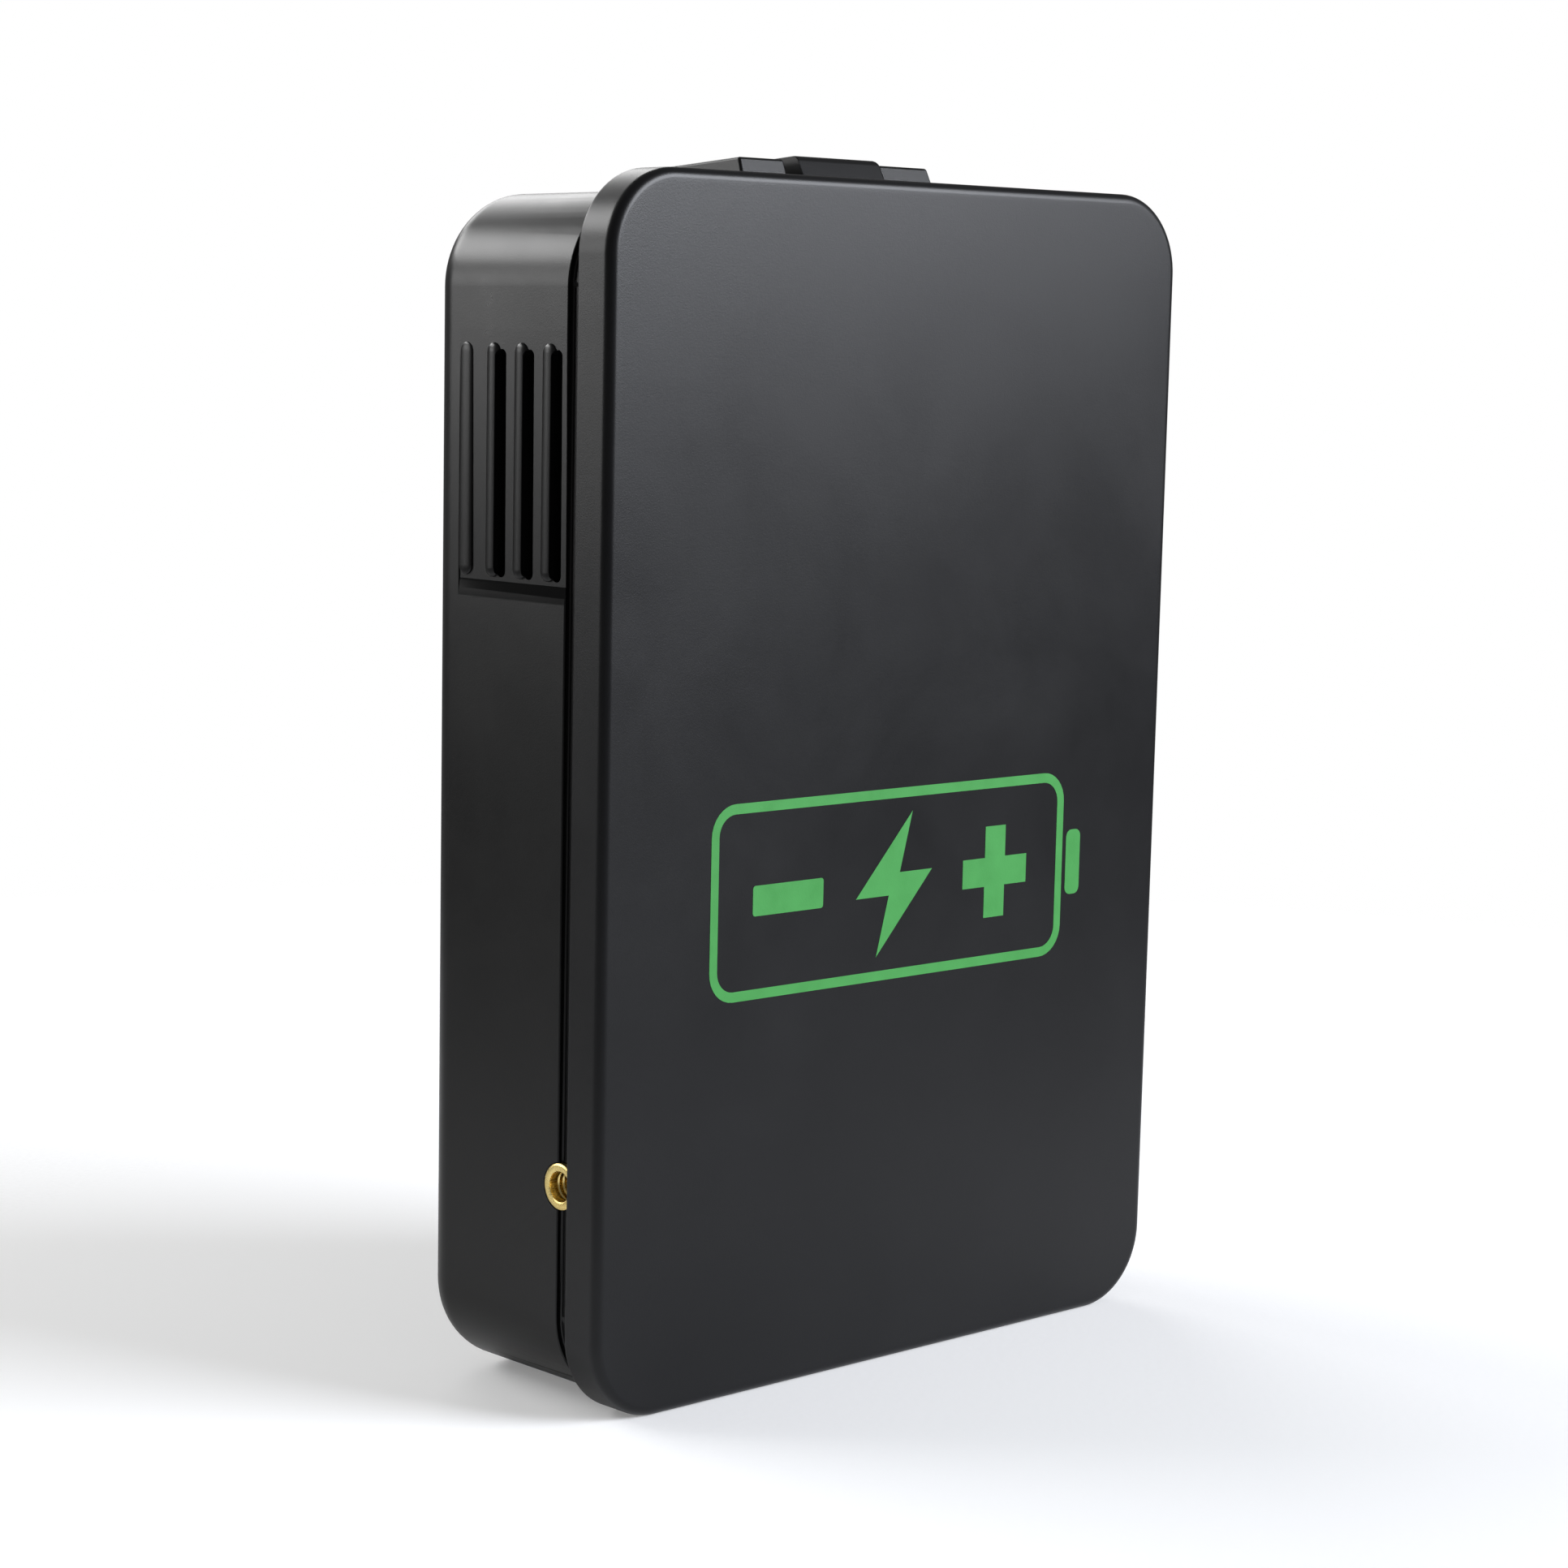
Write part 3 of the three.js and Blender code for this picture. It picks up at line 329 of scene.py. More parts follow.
def shell_materials():
    """The plastics and rubbers of the outside, and the inks on them."""
    bluish_black, bluish_grey = (0.0026, 0.0027, 0.0034), (0.0036, 0.0037, 0.0045)
    plain_black, plain_grey = (0.0026, 0.0026, 0.0027), (0.0036, 0.0036, 0.0037)
    flap_black, flap_grey = (0.003, 0.003, 0.0033), (0.004, 0.004, 0.0044)
    return {
        "cover": plastic("cover_plastic", bluish_black, bluish_grey, 0.32, specular=0.32),
        "case": plastic("case_plastic", plain_black, plain_grey, 0.3, specular=0.32),
        "flap": plastic("flap_plastic", flap_black, flap_grey, 0.38, 0.016, specular=0.3),
        "key": rubber("key_rubber", (0.014, 0.014, 0.015), 0.55),
        "rubber": rubber("foot_rubber"),
        "window": plastic("display_tint", (0.003, 0.003, 0.004), (0.006, 0.006, 0.008), 0.06, 0.0, 40),
        "panel": plastic("display_glass", (0.02, 0.03, 0.03), (0.03, 0.045, 0.045), 0.15, 0.0, 200),
        "lens": clear("lamp_clear", (0.93, 0.95, 0.97), 0.04),
        "green_ink": print_ink("green_ink", (0.03, 0.25, 0.04)),
        "white_ink": print_ink("white_ink", (0.62, 0.62, 0.62)),
    }


def metal_materials():
    coarse, fine = (260, 260, 260), (500, 500, 500)
    return {
        "brass": metal("turned_brass", (0.78, 0.58, 0.2), (0.9, 0.72, 0.3), 0.27, (40, 900, 900)),
        "steel": metal("plated_steel", (0.45, 0.45, 0.46), (0.62, 0.62, 0.63), 0.3, (60, 700, 60)),
        "port": metal("pressed_steel", (0.5, 0.5, 0.5), (0.66, 0.66, 0.66), 0.26, (40, 500, 500)),
        "gear": metal("sintered_steel", (0.22, 0.22, 0.23), (0.36, 0.36, 0.37), 0.45, fine, grain=0.02),
        "alloy": metal("cast_alloy", (0.38, 0.39, 0.40), (0.52, 0.53, 0.54), 0.5, coarse, grain=0.05),
        "mirror": metal("metallised_reflector", (0.84, 0.84, 0.85), (0.9, 0.9, 0.91), 0.09, (90, 90, 90)),
        "foil": foil("cell_foil"),
    }


def inner_materials():
    """The plastics, rubbers and boards of the inside."""
    return {
        "black": plastic("black_plastic", (0.008, 0.008, 0.008), (0.014, 0.014, 0.014), 0.5, 0.02),
        "hose": rubber("hose_rubber", (0.01, 0.01, 0.01), 0.45),
        "board": circuit_board("solder_mask"),
        "socket": plastic("socket_blue", (0.01, 0.05, 0.24), (0.02, 0.075, 0.32), 0.3),
        "relay": plastic("relay_blue", (0.01, 0.06, 0.20), (0.02, 0.09, 0.26), 0.35),
        "sleeve": plastic("capacitor_sleeve", (0.01, 0.01, 0.05), (0.02, 0.02, 0.08), 0.25),
        "white": plastic("white_board", (0.62, 0.62, 0.60), (0.72, 0.72, 0.70), 0.4),
        "red": rubber("lead_red", (0.32, 0.012, 0.012), 0.4),
    }


# ---------- mesh helpers: outlines in millimetres, objects in metres ----------
def rounded_rect(x0, x1, y0, y1, radius, steps=6):
    """Counter-clockwise points of a rectangle with round corners."""
    left, right, bottom, top = x0 + radius, x1 - radius, y0 + radius, y1 - radius
    points = []
    for cx, cy, start in ((right, top, 0), (left, top, 90), (left, bottom, 180), (right, bottom, 270)):
        for i in range(steps + 1):
            angle = math.radians(start + 90 * i / steps)
            points.append((cx + radius * math.cos(angle), cy + radius * math.sin(angle)))
    return points


def circle(cx, cy, radius, steps=48):
    turn = 2 * math.pi / steps
    return [(cx + radius * math.cos(i * turn), cy + radius * math.sin(i * turn)) for i in range(steps)]


def in_mm(node):
    low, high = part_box(node)
    return [c / MM for c in low], [c / MM for c in high]


def box_outline(node, axes, margin, radius, steps):
    """Round-cornered outline around a node's box, across the two axes given as 0, 1 or 2."""
    low, high = in_mm(node)
    (x0, y0), (x1, y1) = [low[i] - margin for i in axes], [high[i] + margin for i in axes]
    return rounded_rect(x0, x1, y0, y1, radius, steps)


def place(axis, a, b, along):
    """A point from its two coordinates across an axis, in X, Y, Z order, and the one along it."""
    order = {"x": (along, a, b), "y": (a, along, b), "z": (a, b, along)}[axis]
    return Vector(order) * MM


def skin(bm, rings, closed_ends=True):
    """Joins rings of equal length with quads, and caps both ends."""
    made = [[bm.verts.new(point) for point in ring] for ring in rings]
    count = len(made[0])
    for low, high in zip(made, made[1:]):
        for i in range(count):
            j = (i + 1) % count
            bm.faces.new((low[i], low[j], high[j], high[i]))
    if closed_ends:
        bm.faces.new(list(reversed(made[0])))
        bm.faces.new(made[-1])


def add_object(name, bm, sharp_angle=32):
    """Object from a bmesh: faces outward and smooth, with edges over the angle kept sharp."""
    bmesh.ops.remove_doubles(bm, verts=bm.verts, dist=1e-7)
    bmesh.ops.recalc_face_normals(bm, faces=bm.faces)
    limit = math.radians(sharp_angle)
    for edge in bm.edges:
        edge.smooth = len(edge.link_faces) != 2 or edge.calc_face_angle(0) < limit
    for face in bm.faces:
        face.smooth = True
    mesh = bpy.data.meshes.new(name)
    bm.to_mesh(mesh)
    bm.free()
    obj = bpy.data.objects.new(name, mesh)
    bpy.context.scene.collection.objects.link(obj)
    return obj


def prism(name, axis, points, low, high, sharp_angle=32):
    bm = bmesh.new()
    skin(bm, [[place(axis, a, b, along) for a, b in points] for along in (low, high)])
    return add_object(name, bm, sharp_angle)


def turned(name, axis, profile, centre, steps=64, sharp_angle=32):
    """Turns a profile of (radius, along) points about an axis."""
    bm = bmesh.new()
    rings = []
    for radius, along in profile:
        safe = max(radius, 1e-4)
        rings.append([place(axis, a, b, along) for a, b in circle(*centre, safe, steps)])
    skin(bm, rings, closed_ends=profile[0] != profile[-1])
    return add_object(name, bm, sharp_angle)


def baked(obj):
    """Applies an object's modifiers to its mesh."""
    depsgraph = bpy.context.evaluated_depsgraph_get()
    mesh = bpy.data.meshes.new_from_object(obj.evaluated_get(depsgraph))
    obj.modifiers.clear()
    obj.data = mesh
    return obj


def combine(obj, others, operation):
    """Boolean of an object with several others, which are then deleted."""
    group = bpy.data.collections.new("operands")
    bpy.context.scene.collection.children.link(group)
    for other in others:
        bpy.context.scene.collection.objects.unlink(other)
        group.objects.link(other)
    modifier = obj.modifiers.new("boolean", "BOOLEAN")
    modifier.operation = operation
    modifier.operand_type = "COLLECTION"
    modifier.collection = group
    modifier.solver = "EXACT"
    baked(obj)
    for other in others:
        bpy.data.objects.remove(other)
    bpy.data.collections.remove(group)
    return obj


def even_shading(obj, keep_sharp=True):
    """Lets large faces set the shading of the edges beside them."""
    weighted = obj.modifiers.new("even_shading", "WEIGHTED_NORMAL")
    weighted.keep_sharp = keep_sharp


def smooth_faces(obj):
    for polygon in obj.data.polygons:
        polygon.use_smooth = True


def eased(obj, width, segments=2, angle=32):
    """Rounds edges over the angle a little and evens out the shading."""
    bevel = obj.modifiers.new("eased_edges", "BEVEL")
    bevel.width = width * MM
    bevel.segments = segments
    bevel.limit_method = "ANGLE"
    bevel.angle_limit = math.radians(angle)
    even_shading(obj, keep_sharp=False)
    smooth_faces(obj)
    return obj


def crisp(obj, angle=32):
    """Keeps edges over the angle sharp and smooths the others."""
    obj.data.set_sharp_from_angle(angle=math.radians(angle))
    smooth_faces(obj)
    even_shading(obj)


def add_piece(obj, material, body=BODY, replaced=()):
    obj.data.materials.clear()
    obj.data.materials.append(material)
    for polygon in obj.data.polygons:
        polygon.material_index = 0
    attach(obj, body)
    if replaced:
        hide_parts(*replaced)


# ---------- shells: rings at an inset from the sides ----------
def quarter(radius, steps, along, towards):
    """(inset, along) points of an edge rounding that starts on the side and ends on the face."""
    points = []
    for i in range(1, steps + 1):
        angle = math.radians(90 * i / steps)
        points.append((radius * (1 - math.cos(angle)), along - towards * radius * (1 - math.sin(angle))))
    return points


def inset_ring(half, low, high, corner, inset, y):
    radius = max(corner - inset, 0.5)
    outline = rounded_rect(-half + inset, half - inset, low + inset, high - inset, radius, CORNER_STEPS)
    return [place("y", x, z, y) for x, z in outline]


def cover_ring(inset, y):
    low, high = in_mm("front_cover")
    return inset_ring(high[0], low[2], high[2], COVER["corner"], inset, y)


def case_ring(inset, y):
    """Outline of the case at an inset, which is also the shape of the cover's cavity."""
    low, high = in_mm("rear_case")
    return inset_ring(high[0], low[2], CASE["top"], CASE["corner"], inset, y)


# ---------- front cover ----------
def cavity_rings(front):
    """The cover's inside: its floor with an eased corner, the ledge for the case's rim and the lip."""
    floor, ledge = front + COVER["wall"], CASE["front"] - CLEARANCE
    profile = [(SEAT_INSET + 8, floor), (SEAT_INSET + 1, floor), (SEAT_INSET, floor + 1)]
    profile += [(SEAT_INSET, ledge), (LIP_INSET, ledge), (LIP_INSET, COVER["rear"])]
    return [case_ring(inset, y) for inset, y in profile]


def outer_rings(front):
    """The cover's outside, from its rear rim to its front face."""
    edge, rear, rear_edge = COVER["edge"], COVER["rear"], COVER["rear_edge"]
    profile = quarter(rear_edge, 5, rear, 1)[::-1]
    profile += [(0, rear - rear_edge), (0, rear - rear_edge - HOLD)]
    profile += [(0, front + edge + HOLD), (0, front + edge)]
    profile += quarter(edge, 12, front, -1)
    profile += [(edge + 2 * HOLD, front)]
    return [cover_ring(inset, y) for inset, y in profile]


def outlet_ring():
    """Centre of the air outlet's ring across X, and its radius."""
    low, high = in_mm("air_outlet_fitting")
    return ((low[1] + high[1]) / 2, (low[2] + high[2]) / 2), (high[2] - low[2]) / 2


def build_cover(materials):
    low, high = in_mm("front_cover")
    half, front = high[0], low[1]
    bm = bmesh.new()
    skin(bm, cavity_rings(front) + outer_rings(front))
    cover = add_object("front_cover_shell", bm, 60)
    centre, radius = outlet_ring()
    relief = prism("ring_relief", "x", circle(*centre, radius + CLEARANCE, 72), -half + 0.8, -half + 8)
    combine(cover, [relief], "DIFFERENCE")
    even_shading(cover)
    add_piece(cover, materials["cover"], replaced=["front_cover"])


# ---------- printed mark: a battery with minus, bolt and plus ----------
def flat_print(name, outlines, material, near, far, body=BODY):
    """One thin piece from several closed outlines, each a list of (x, z) points."""
    bm = bmesh.new()
    for points in outlines:
        skin(bm, [[place("y", x, z, y) for x, z in points] for y in (near, far)])
    add_piece(add_object(name, bm), material, body)


def frame_print(name, outer, inner, material, near, far, body=BODY):
    """A thin closed band between two outlines with the same number of points."""
    bm = bmesh.new()
    loops = [(outer, far), (outer, near), (inner, near), (inner, far), (outer, far)]
    skin(bm, [[place("y", x, z, y) for x, z in points] for points, y in loops], closed_ends=False)
    add_piece(add_object(name, bm), material, body)


def bar_points(cx, cz, width, height, radius=0.5):
    return rounded_rect(cx - width / 2, cx + width / 2, cz - height / 2, cz + height / 2, radius, 3)


def plus_points(cx, cz, arm, half):
    points = []
    for sx, sz in ((1, 1), (-1, 1), (-1, -1), (1, -1)):
        corner = [(arm, half), (half, half), (half, arm)]
        step = corner if sx * sz > 0 else corner[::-1]
        points += [(cx + sx * x, cz + sz * z) for x, z in step]
    return points


def arc_points(cx, cz, radius, line, start, end, steps=28):
    """Outline of a band along an arc, in degrees."""
    angles = [math.radians(start + (end - start) * i / steps) for i in range(steps + 1)]
    outer, inner = radius + line / 2, radius - line / 2
    points = [(cx + outer * math.cos(a), cz + outer * math.sin(a)) for a in angles]
    return points + [(cx + inner * math.cos(a), cz + inner * math.sin(a)) for a in reversed(angles)]


def build_mark(materials):
    front = in_mm("front_cover")[0][1]
    ink, near, far = materials["green_ink"], front - MARK_INK["raised"], front + MARK_INK["sunk"]
    cx, cz = MARK["x"], MARK["z"]
    w, h, line, corner = MARK["width"] / 2, MARK["height"] / 2, MARK["line"], MARK["corner"]
    outer = rounded_rect(cx - w, cx + w, cz - h, cz + h, corner, 8)
    inner = rounded_rect(cx - w + line, cx + w - line, cz - h + line, cz + h - line, corner - line, 8)
    frame_print("mark_battery_outline", outer, inner, ink, near, far)
    left, tall = cx + w + MARK_TERMINAL["gap"], MARK_TERMINAL["height"] / 2
    right = left + MARK_TERMINAL["width"]
    terminal = rounded_rect(left, right, cz - tall, cz + tall, MARK_TERMINAL["corner"], 4)
    flat_print("mark_terminal", [terminal], ink, near, far)
    bolt = HALF_BOLT + [(-x, -z) for x, z in HALF_BOLT]
    flat_print("mark_bolt", [[(cx + x, cz + z) for x, z in bolt]], ink, near, far)
    offset, arm, half = MARK_SIGNS["offset"], MARK_SIGNS["arm"], MARK_SIGNS["half"]
    flat_print("mark_minus", [bar_points(cx - offset, cz, 2 * arm, 2 * half)], ink, near, far)
    flat_print("mark_plus", [plus_points(cx + offset, cz, arm, half)], ink, near, far)


# ---------- rear case ----------
def ramp_outline(sizes, back, low):
    """Side outline of the pod or its flap: a ramp up the front and a top that falls to the back."""
    front, top = sizes["front"], sizes["top"]
    return [(front, low), (back, low), (back, top - sizes["fall"]), (front + sizes["ramp"], top)]


def case_blank():
    """The case as one skin: its inside with an eased corner, its front rim, its outside and its back."""
    back = in_mm("rear_case")[1][1]
    front, wall, edge, rim = CASE["front"], CASE["wall"], CASE["edge"], CASE["rim"]
    inner = back - wall
    profile = [(wall + 4, inner), (wall + 1.2, inner - 1.2), (wall, inner - 4), (wall, front)]
    profile += [(rim, front), (0, front + rim), (0, front + 3), (0, back - edge - 1), (0, back - edge)]
    profile += quarter(edge, 14, back, 1)
    profile += [(edge + 1, back)]
    bm = bmesh.new()
    skin(bm, [case_ring(inset, y) for inset, y in profile])
    return add_object("rear_case_shell", bm, 60)


def pod_slot():
    """The gap between the pod's two ears, to cut with."""
    left, right, floor, above = POD_GAP["left"], POD_GAP["right"], POD_GAP["floor"], POD["top"] + 1
    points = [(left, floor), (right, floor), (right, above), (left, above)]
    return prism("pod_slot", "y", points, POD["front"] - 3, POD["back"] + 3)


def pod_block():
    """The pod's two ears, with sides that lean in and a gap for the flap."""
    base, top = CASE["top"] - 2, POD["top"]
    rings = []
    for side in (-1, 1):
        ring = []
        for y, z in ramp_outline(POD, POD["back"], base):
            lean = POD["draft"] * (top - z) / (top - base)
            ring.append(place("x", y, z, side * (POD["half"] + lean)))
        rings.append(ring)
    bm = bmesh.new()
    skin(bm, rings)
    block = combine(add_object("pod", bm), [pod_slot()], "DIFFERENCE")
    return baked(eased(block, 0.45, 4))


def seam_groove():
    """The shadow groove around the case behind the cover, as a closed ring to cut with."""
    depth, start, end, outside = SEAM["depth"], CASE["front"] - 1, COVER["rear"] + SEAM["width"], -3
    floor = [(depth, start), (depth, end - 0.25), (depth - 0.25, end)]
    soft_edge = [(0.3, end), (0.09, end + 0.09), (-0.05, end + 0.35)]
    loops = floor + soft_edge + [(outside, end + 0.35), (outside, start), (depth, start)]
    bm = bmesh.new()
    skin(bm, [case_ring(inset, y) for inset, y in loops], closed_ends=False)
    return add_object("seam_groove", bm)


def vent_field(side, steps=8):
    """Shallow hollow around the vents that deepens towards a lip at its bottom, to cut with."""
    low, high, depth = VENT["low"], VENT["high"] + 3, VENT_FIELD["depth"]
    lip, deepest = VENT_FIELD["lip"], VENT_FIELD["deepest"]
    points = [(side - 1, low - lip)]
    for i in range(steps + 1):
        share = i / steps
        inward = depth * (1 - math.cos(math.pi * share)) / 2
        points.append((side + inward, low - lip * (1 - share) - deepest * share))
    points += [(side, high), (side - 1, high)]
    return prism("vent_field", "y", points, VENT_FIELD["front"], VENT_FIELD["back"], 60)


def bead_rings(side, y, height, steps=6):
    """Outlines of one bead, from its foot inside the wall to its crown."""
    radius, low, high = BEAD["radius"], VENT["low"], VENT["high"] + 1
    levels = [(0, -BEAD["foot"])]
    for i in range(steps + 1):
        angle = math.radians(88 * i / steps)
        levels.append((radius * (1 - math.cos(angle)), height * math.sin(angle)))
    rings = []
    for shrink, rise in levels:
        half = radius - shrink
        outline = rounded_rect(y - half, y + half, low + shrink, high - shrink, half * ROUND_END, 8)
        rings.append([place("x", a, b, side - rise) for a, b in outline])
    return rings


def vent_beads(side):
    """A raised bead behind each slot, and a fainter one at the end of the row."""
    beads = []
    for i in range(VENT["count"] + 1):
        y = VENT["first"] + i * VENT["pitch"] + BEAD["offset"]
        height = BEAD["height"] if i < VENT["count"] else BEAD["last_height"]
        bm = bmesh.new()
        skin(bm, bead_rings(side, y, height))
        beads.append(add_object(f"vent_bead_{i}", bm))
    return beads


def screw_bosses(back):
    bosses = []
    for i, (x, z) in enumerate(SCREW_PLACES):
        outline = circle(x, z, SCREW["boss"], 32)
        bosses.append(prism(f"boss_{i}", "y", outline, SCREW["boss_front"], back - 1))
    return bosses


def left_openings(side):
    """The vents, and the air outlet's hole and the seat of its ring."""
    half = VENT["width"] / 2
    cutters = []
    for i in range(VENT["count"]):
        y = VENT["first"] + i * VENT["pitch"]
        slot = rounded_rect(y - half, y + half, VENT["low"], VENT["high"], half * ROUND_END, 8)
        cutters.append(prism(f"vent_{i}", "x", slot, side - 2, side + 5))
    centre, radius = outlet_ring()
    seat = side + OUTLET["flange"]
    cutters.append(prism("outlet_hole", "x", circle(*centre, OUTLET["hole"]), side - 3, side + 6))
    cutters.append(prism("outlet_seat", "x", circle(*centre, radius + 0.1, 72), side - 3, seat))
    return cutters


def right_openings(side):
    """The charging ports' recess and their holes."""
    recess = box_outline("usb_port_cover", (1, 2), CLEARANCE, 2.5, 8)
    cutters = [prism("port_recess", "x", recess, side - RECESS["ports"], side + 3)]
    for node, margin in (("usb_a_socket", 0.4), ("usb_c_socket", 0.5)):
        hole = box_outline(node, (1, 2), margin, 0.8, 4)
        cutters.append(prism(node + "_hole", "x", hole, side - 6, side + 1))
    return cutters


def back_openings(back):
    """The display's recess and hole, a hole in a shallow dish for each key, and the screws' holes."""
    recess = box_outline("display_window", (0, 2), CLEARANCE, 3, 8)
    hole = box_outline("display_window", (0, 2), -DISPLAY_LEDGE, 2, 8)
    cutters = [prism("display_recess", "y", recess, back - RECESS["display"], back + 2)]
    cutters.append(prism("display_hole", "y", hole, back - 6, back + 1))
    for name, (x, z, radius) in KEYS.items():
        cutters.append(prism(name + "_hole", "y", circle(x, z, radius + CLEARANCE, 64), back - 6, back + 2))
        dish = [(radius + out, back + rise) for out, rise in KEY_DISH]
        cutters.append(turned(name + "_dish", "y", dish, (x, z)))
    for i, (x, z) in enumerate(SCREW_PLACES):
        outline = circle(x, z, SCREW["hole"])
        cutters.append(prism(f"screw_hole_{i}", "y", outline, SCREW["hole_front"], back + 3))
    return cutters


def top_openings():
    """The lamp's hole and the jump socket's."""
    low, high = in_mm("lamp_lens")
    lamp = circle((low[0] + high[0]) / 2, (low[1] + high[1]) / 2, LAMP_HOLE, 64)
    socket = box_outline("jump_socket_body", (0, 1), CLEARANCE, 1.2, 4)
    return [prism("lamp_hole", "z", lamp, 175, 195), prism("socket_hole", "z", socket, 180, 200)]


def foot_pockets():
    cutters = []
    for foot in ("foot_left", "foot_right"):
        pocket = box_outline(foot, (0, 1), CLEARANCE, 3.3, 6)
        cutters.append(prism(foot + "_pocket", "z", pocket, -1, RECESS["feet"]))
    return cutters


def build_case(materials):
    half, back, _ = in_mm("rear_case")[1]
    case = combine(case_blank(), [seam_groove(), vent_field(-half)], "DIFFERENCE")
    combine(case, [pod_block()] + vent_beads(-half) + screw_bosses(back), "UNION")
    cutters = left_openings(-half) + right_openings(half) + back_openings(back)
    combine(case, cutters + top_openings() + foot_pockets(), "DIFFERENCE")
    crisp(case)
    add_piece(case, materials["case"], replaced=["rear_case"])


# ---------- pieces on the case ----------
def build_flap(materials):
    """The ramped flap: rounded except at its left end, hollow behind its hinge, with a barrel for the pin."""
    half = in_mm("jump_port_cover")[1][0]
    y, z = HINGE["y"], HINGE["z"]
    flap = prism("flap_blank", "x", ramp_outline(FLAP, FLAP["back"], FLAP["bottom"]), -half - 0.7, half)
    baked(eased(flap, 1.1, 5))
    left_end = prism("flap_left_end", "x", rounded_rect(-20, 30, 180, 200, 1, 2), -half - 5, -half)
    combine(flap, [left_end], "DIFFERENCE")
    front, back, low, high = y - HINGE["barrel"], y + 5, FLAP["bottom"] - 1, z - 0.6
    points = [(front, low), (back, low), (back, high), (front, high)]
    under = prism("flap_under", "x", points, -half - 1, half + 1)
    combine(flap, [under], "DIFFERENCE")
    barrel = prism("flap_barrel", "x", circle(y, z, HINGE["barrel"], 40), -half, half)
    combine(flap, [barrel], "UNION")
    hole = prism("flap_pin_hole", "x", circle(y, z, HINGE["pin_hole"], 32), -half - 1, half + 1)
    combine(flap, [hole], "DIFFERENCE")
    flap.name = "jump_flap"
    eased(flap, 0.12, 2, 40)
    add_piece(flap, materials["flap"], "jump_cover", ["jump_port_cover"])


def outlet_profile(face, outer):
    """(radius, x) points of the outlet: its hose barb, body, outer ring, mouth and ribbed bore."""
    passage, body, bore, end = OUTLET["passage"], OUTLET["body"], OUTLET["bore"], OUTLET["inner_end"]
    seat = face + OUTLET["flange"]
    profile = [(passage, end + 1), (passage, end + 10), (1.3, end + 10), (1.6, end + 9.5)]
    for step in (7.5, 5.3):
        profile += [(1.3, end + step), (1.6, end + step - 0.2)]
    profile += [(1.6, end + 3), (body, end + 2), (body, seat), (outer, seat)]
    profile += [(outer, face + 0.3), (outer - 0.1, face + 0.12), (outer - 0.35, face)]
    profile += [(bore + 0.45, face), (bore + 0.12, face + 0.1), (bore, face + 0.4)]
    for step in (1.6, 2.6):
        profile += [(bore, face + step), (bore + 0.18, face + step + 0.2), (bore, face + step + 0.4)]
    return profile + [(bore, end), (passage, end + 1)]


def build_outlet(materials):
    face = in_mm("air_outlet_fitting")[0][0]
    centre, outer = outlet_ring()
    fitting = turned("air_outlet_ring", "x", outlet_profile(face, outer), centre, 72)
    add_piece(fitting, materials["brass"], replaced=["air_outlet_fitting"])


def build_keys(materials):
    """Keys with a flange that holds them in, a round crown and a slightly hollow top."""
    bottom, flange_top, top = KEY["bottom"], KEY["flange_top"], KEY["top"]
    for name, (x, z, radius) in KEYS.items():
        wide = radius + KEY["flange"]
        profile = [(0, bottom), (wide, bottom), (wide, flange_top), (radius, flange_top)]
        profile += [(radius - inset, top - drop) for inset, drop in KEY_CROWN]
        profile += [(0, top - KEY["hollow"])]
        cap = turned(name + "_cap", "y", profile, (x, z), 64, 50)
        body = name.replace("button", "key")
        add_piece(cap, materials["key"], body, [name])


def build_key_symbols(materials):
    """White generic symbols on the keys: power, minus, a ring for the mode key, and plus."""
    ink, near, far, line = materials["white_ink"], SYMBOL["near"], SYMBOL["far"], SYMBOL["line"]
    x, z, _ = KEYS["power_button"]
    power = [arc_points(x, z, 2.9, line, 125, 415), bar_points(x, z + 2.2, line, 3.2, 0.2)]
    flat_print("power_symbol", power, ink, near, far, "power_key")
    x, z, _ = KEYS["minus_button"]
    flat_print("minus_symbol", [bar_points(x, z, 3.4, line, 0.2)], ink, near, far, "minus_key")
    x, z, _ = KEYS["mode_button"]
    frame_print("mode_symbol", circle(x, z, 1.6), circle(x, z, 1.0), ink, near, far, "mode_key")
    x, z, _ = KEYS["plus_button"]
    flat_print("plus_symbol", [plus_points(x, z, 1.7, line / 2)], ink, near, far, "plus_key")


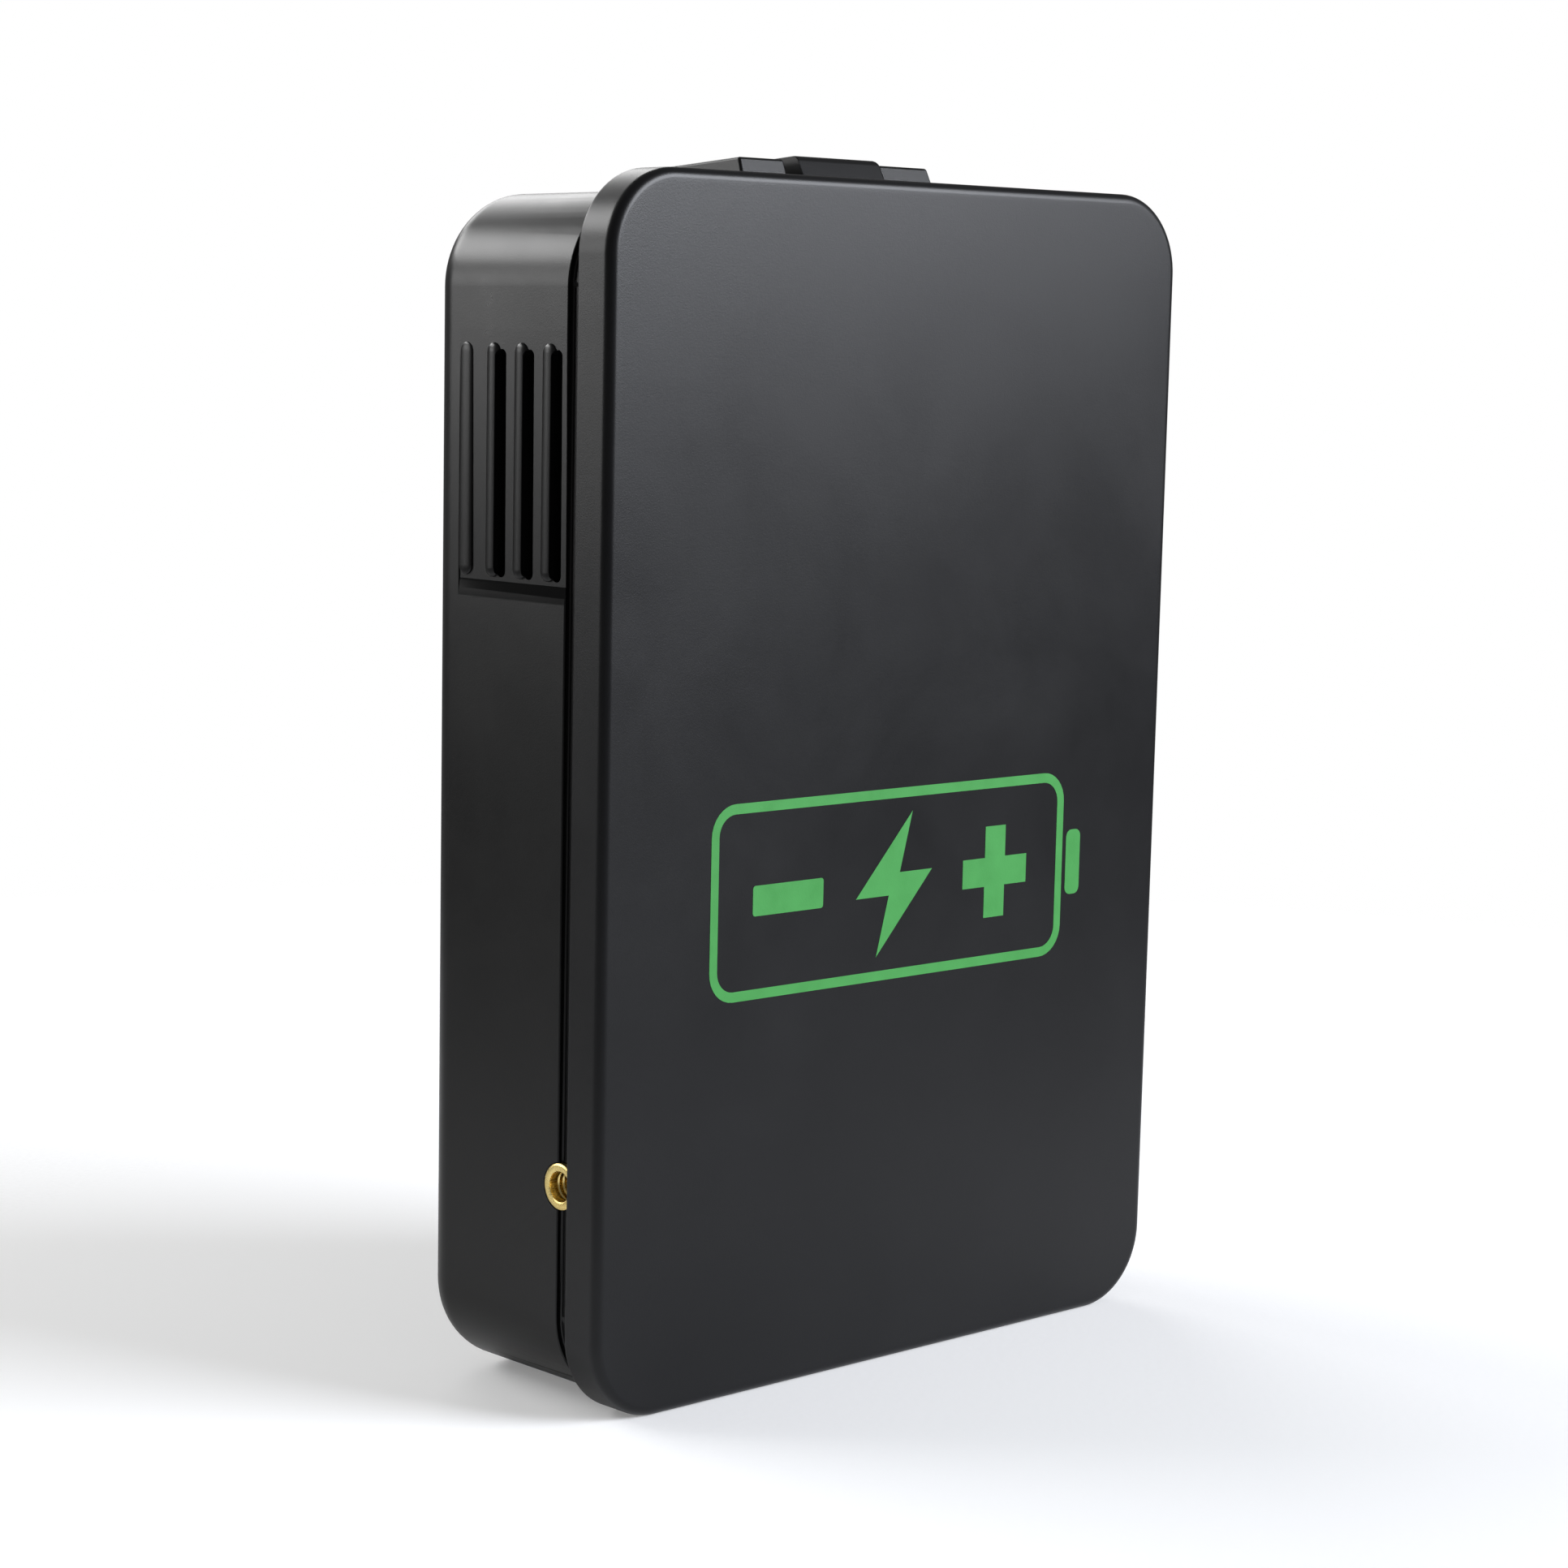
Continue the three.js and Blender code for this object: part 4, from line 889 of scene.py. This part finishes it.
# ---------- finishes for the CAD nodes that stay ----------
FINISHES = {
    "steel": ["case_screw_1", "case_screw_2", "case_screw_3", "case_screw_4", "head_screw_1", "head_screw_2",
              "jump_cover_pin", "crank_pin", "crank_shaft", "wrist_pin", "motor_shaft", "motor_can"],
    "port": ["usb_a_socket", "usb_c_socket"],
    "gear": ["crank_gear"],
    "alloy": ["compressor_frame", "cylinder_head", "piston", "connecting_rod"],
    "brass": ["air_outlet_nut", "jump_contact_positive", "jump_contact_negative", "pinion"],
    "board": ["main_board", "usb_board", "battery_board"],
    "foil": ["cell_1", "cell_2", "cell_3", "cell_4"],
    "black": ["cell_tray", "motor_end_cap", "cooling_fan", "power_button_switch", "minus_button_switch",
              "mode_button_switch", "plus_button_switch"],
    "flap": ["usb_port_cover"],
    "rubber": ["foot_left", "foot_right", "lead_negative"],
    "hose": ["air_hose"],
    "red": ["lead_positive"],
    "socket": ["jump_socket_body"],
    "relay": ["start_relay"],
    "sleeve": ["smoothing_capacitor"],
    "lens": ["lamp_lens"],
    "mirror": ["lamp_reflector"],
    "white": ["lamp_board"],
    "window": ["display_window"],
    "panel": ["display_panel"],
}


def finish_nodes(materials):
    for finish, names in FINISHES.items():
        for name in names:
            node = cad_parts[name]
            node.data.materials.clear()
            node.data.materials.append(materials[finish])
            even_shading(node)


# ---------- floor ----------
def build_stage(steps=96):
    """A round pale floor."""
    bm = bmesh.new()
    rings = []
    for radius in FLOOR_RADII:
        rings.append([bm.verts.new(place("z", x, y, 0)) for x, y in circle(0, 0, radius, steps)])
    bm.faces.new(rings[0])
    for near, far in zip(rings, rings[1:]):
        for i in range(steps):
            j = (i + 1) % steps
            bm.faces.new((near[i], far[i], far[j], near[j]))
    floor = add_object("studio_floor", bm)
    floor.data.materials.append(floor_paper("floor_paper"))


bpy.context.scene.view_settings.view_transform = "Standard"
add_camera()
for softbox in SOFTBOXES:
    add_softbox(*softbox)
add_world()
materials = {**shell_materials(), **metal_materials(), **inner_materials()}
build_stage()
build_cover(materials)
build_mark(materials)
build_case(materials)
build_flap(materials)
build_outlet(materials)
build_keys(materials)
build_key_symbols(materials)
finish_nodes(materials)
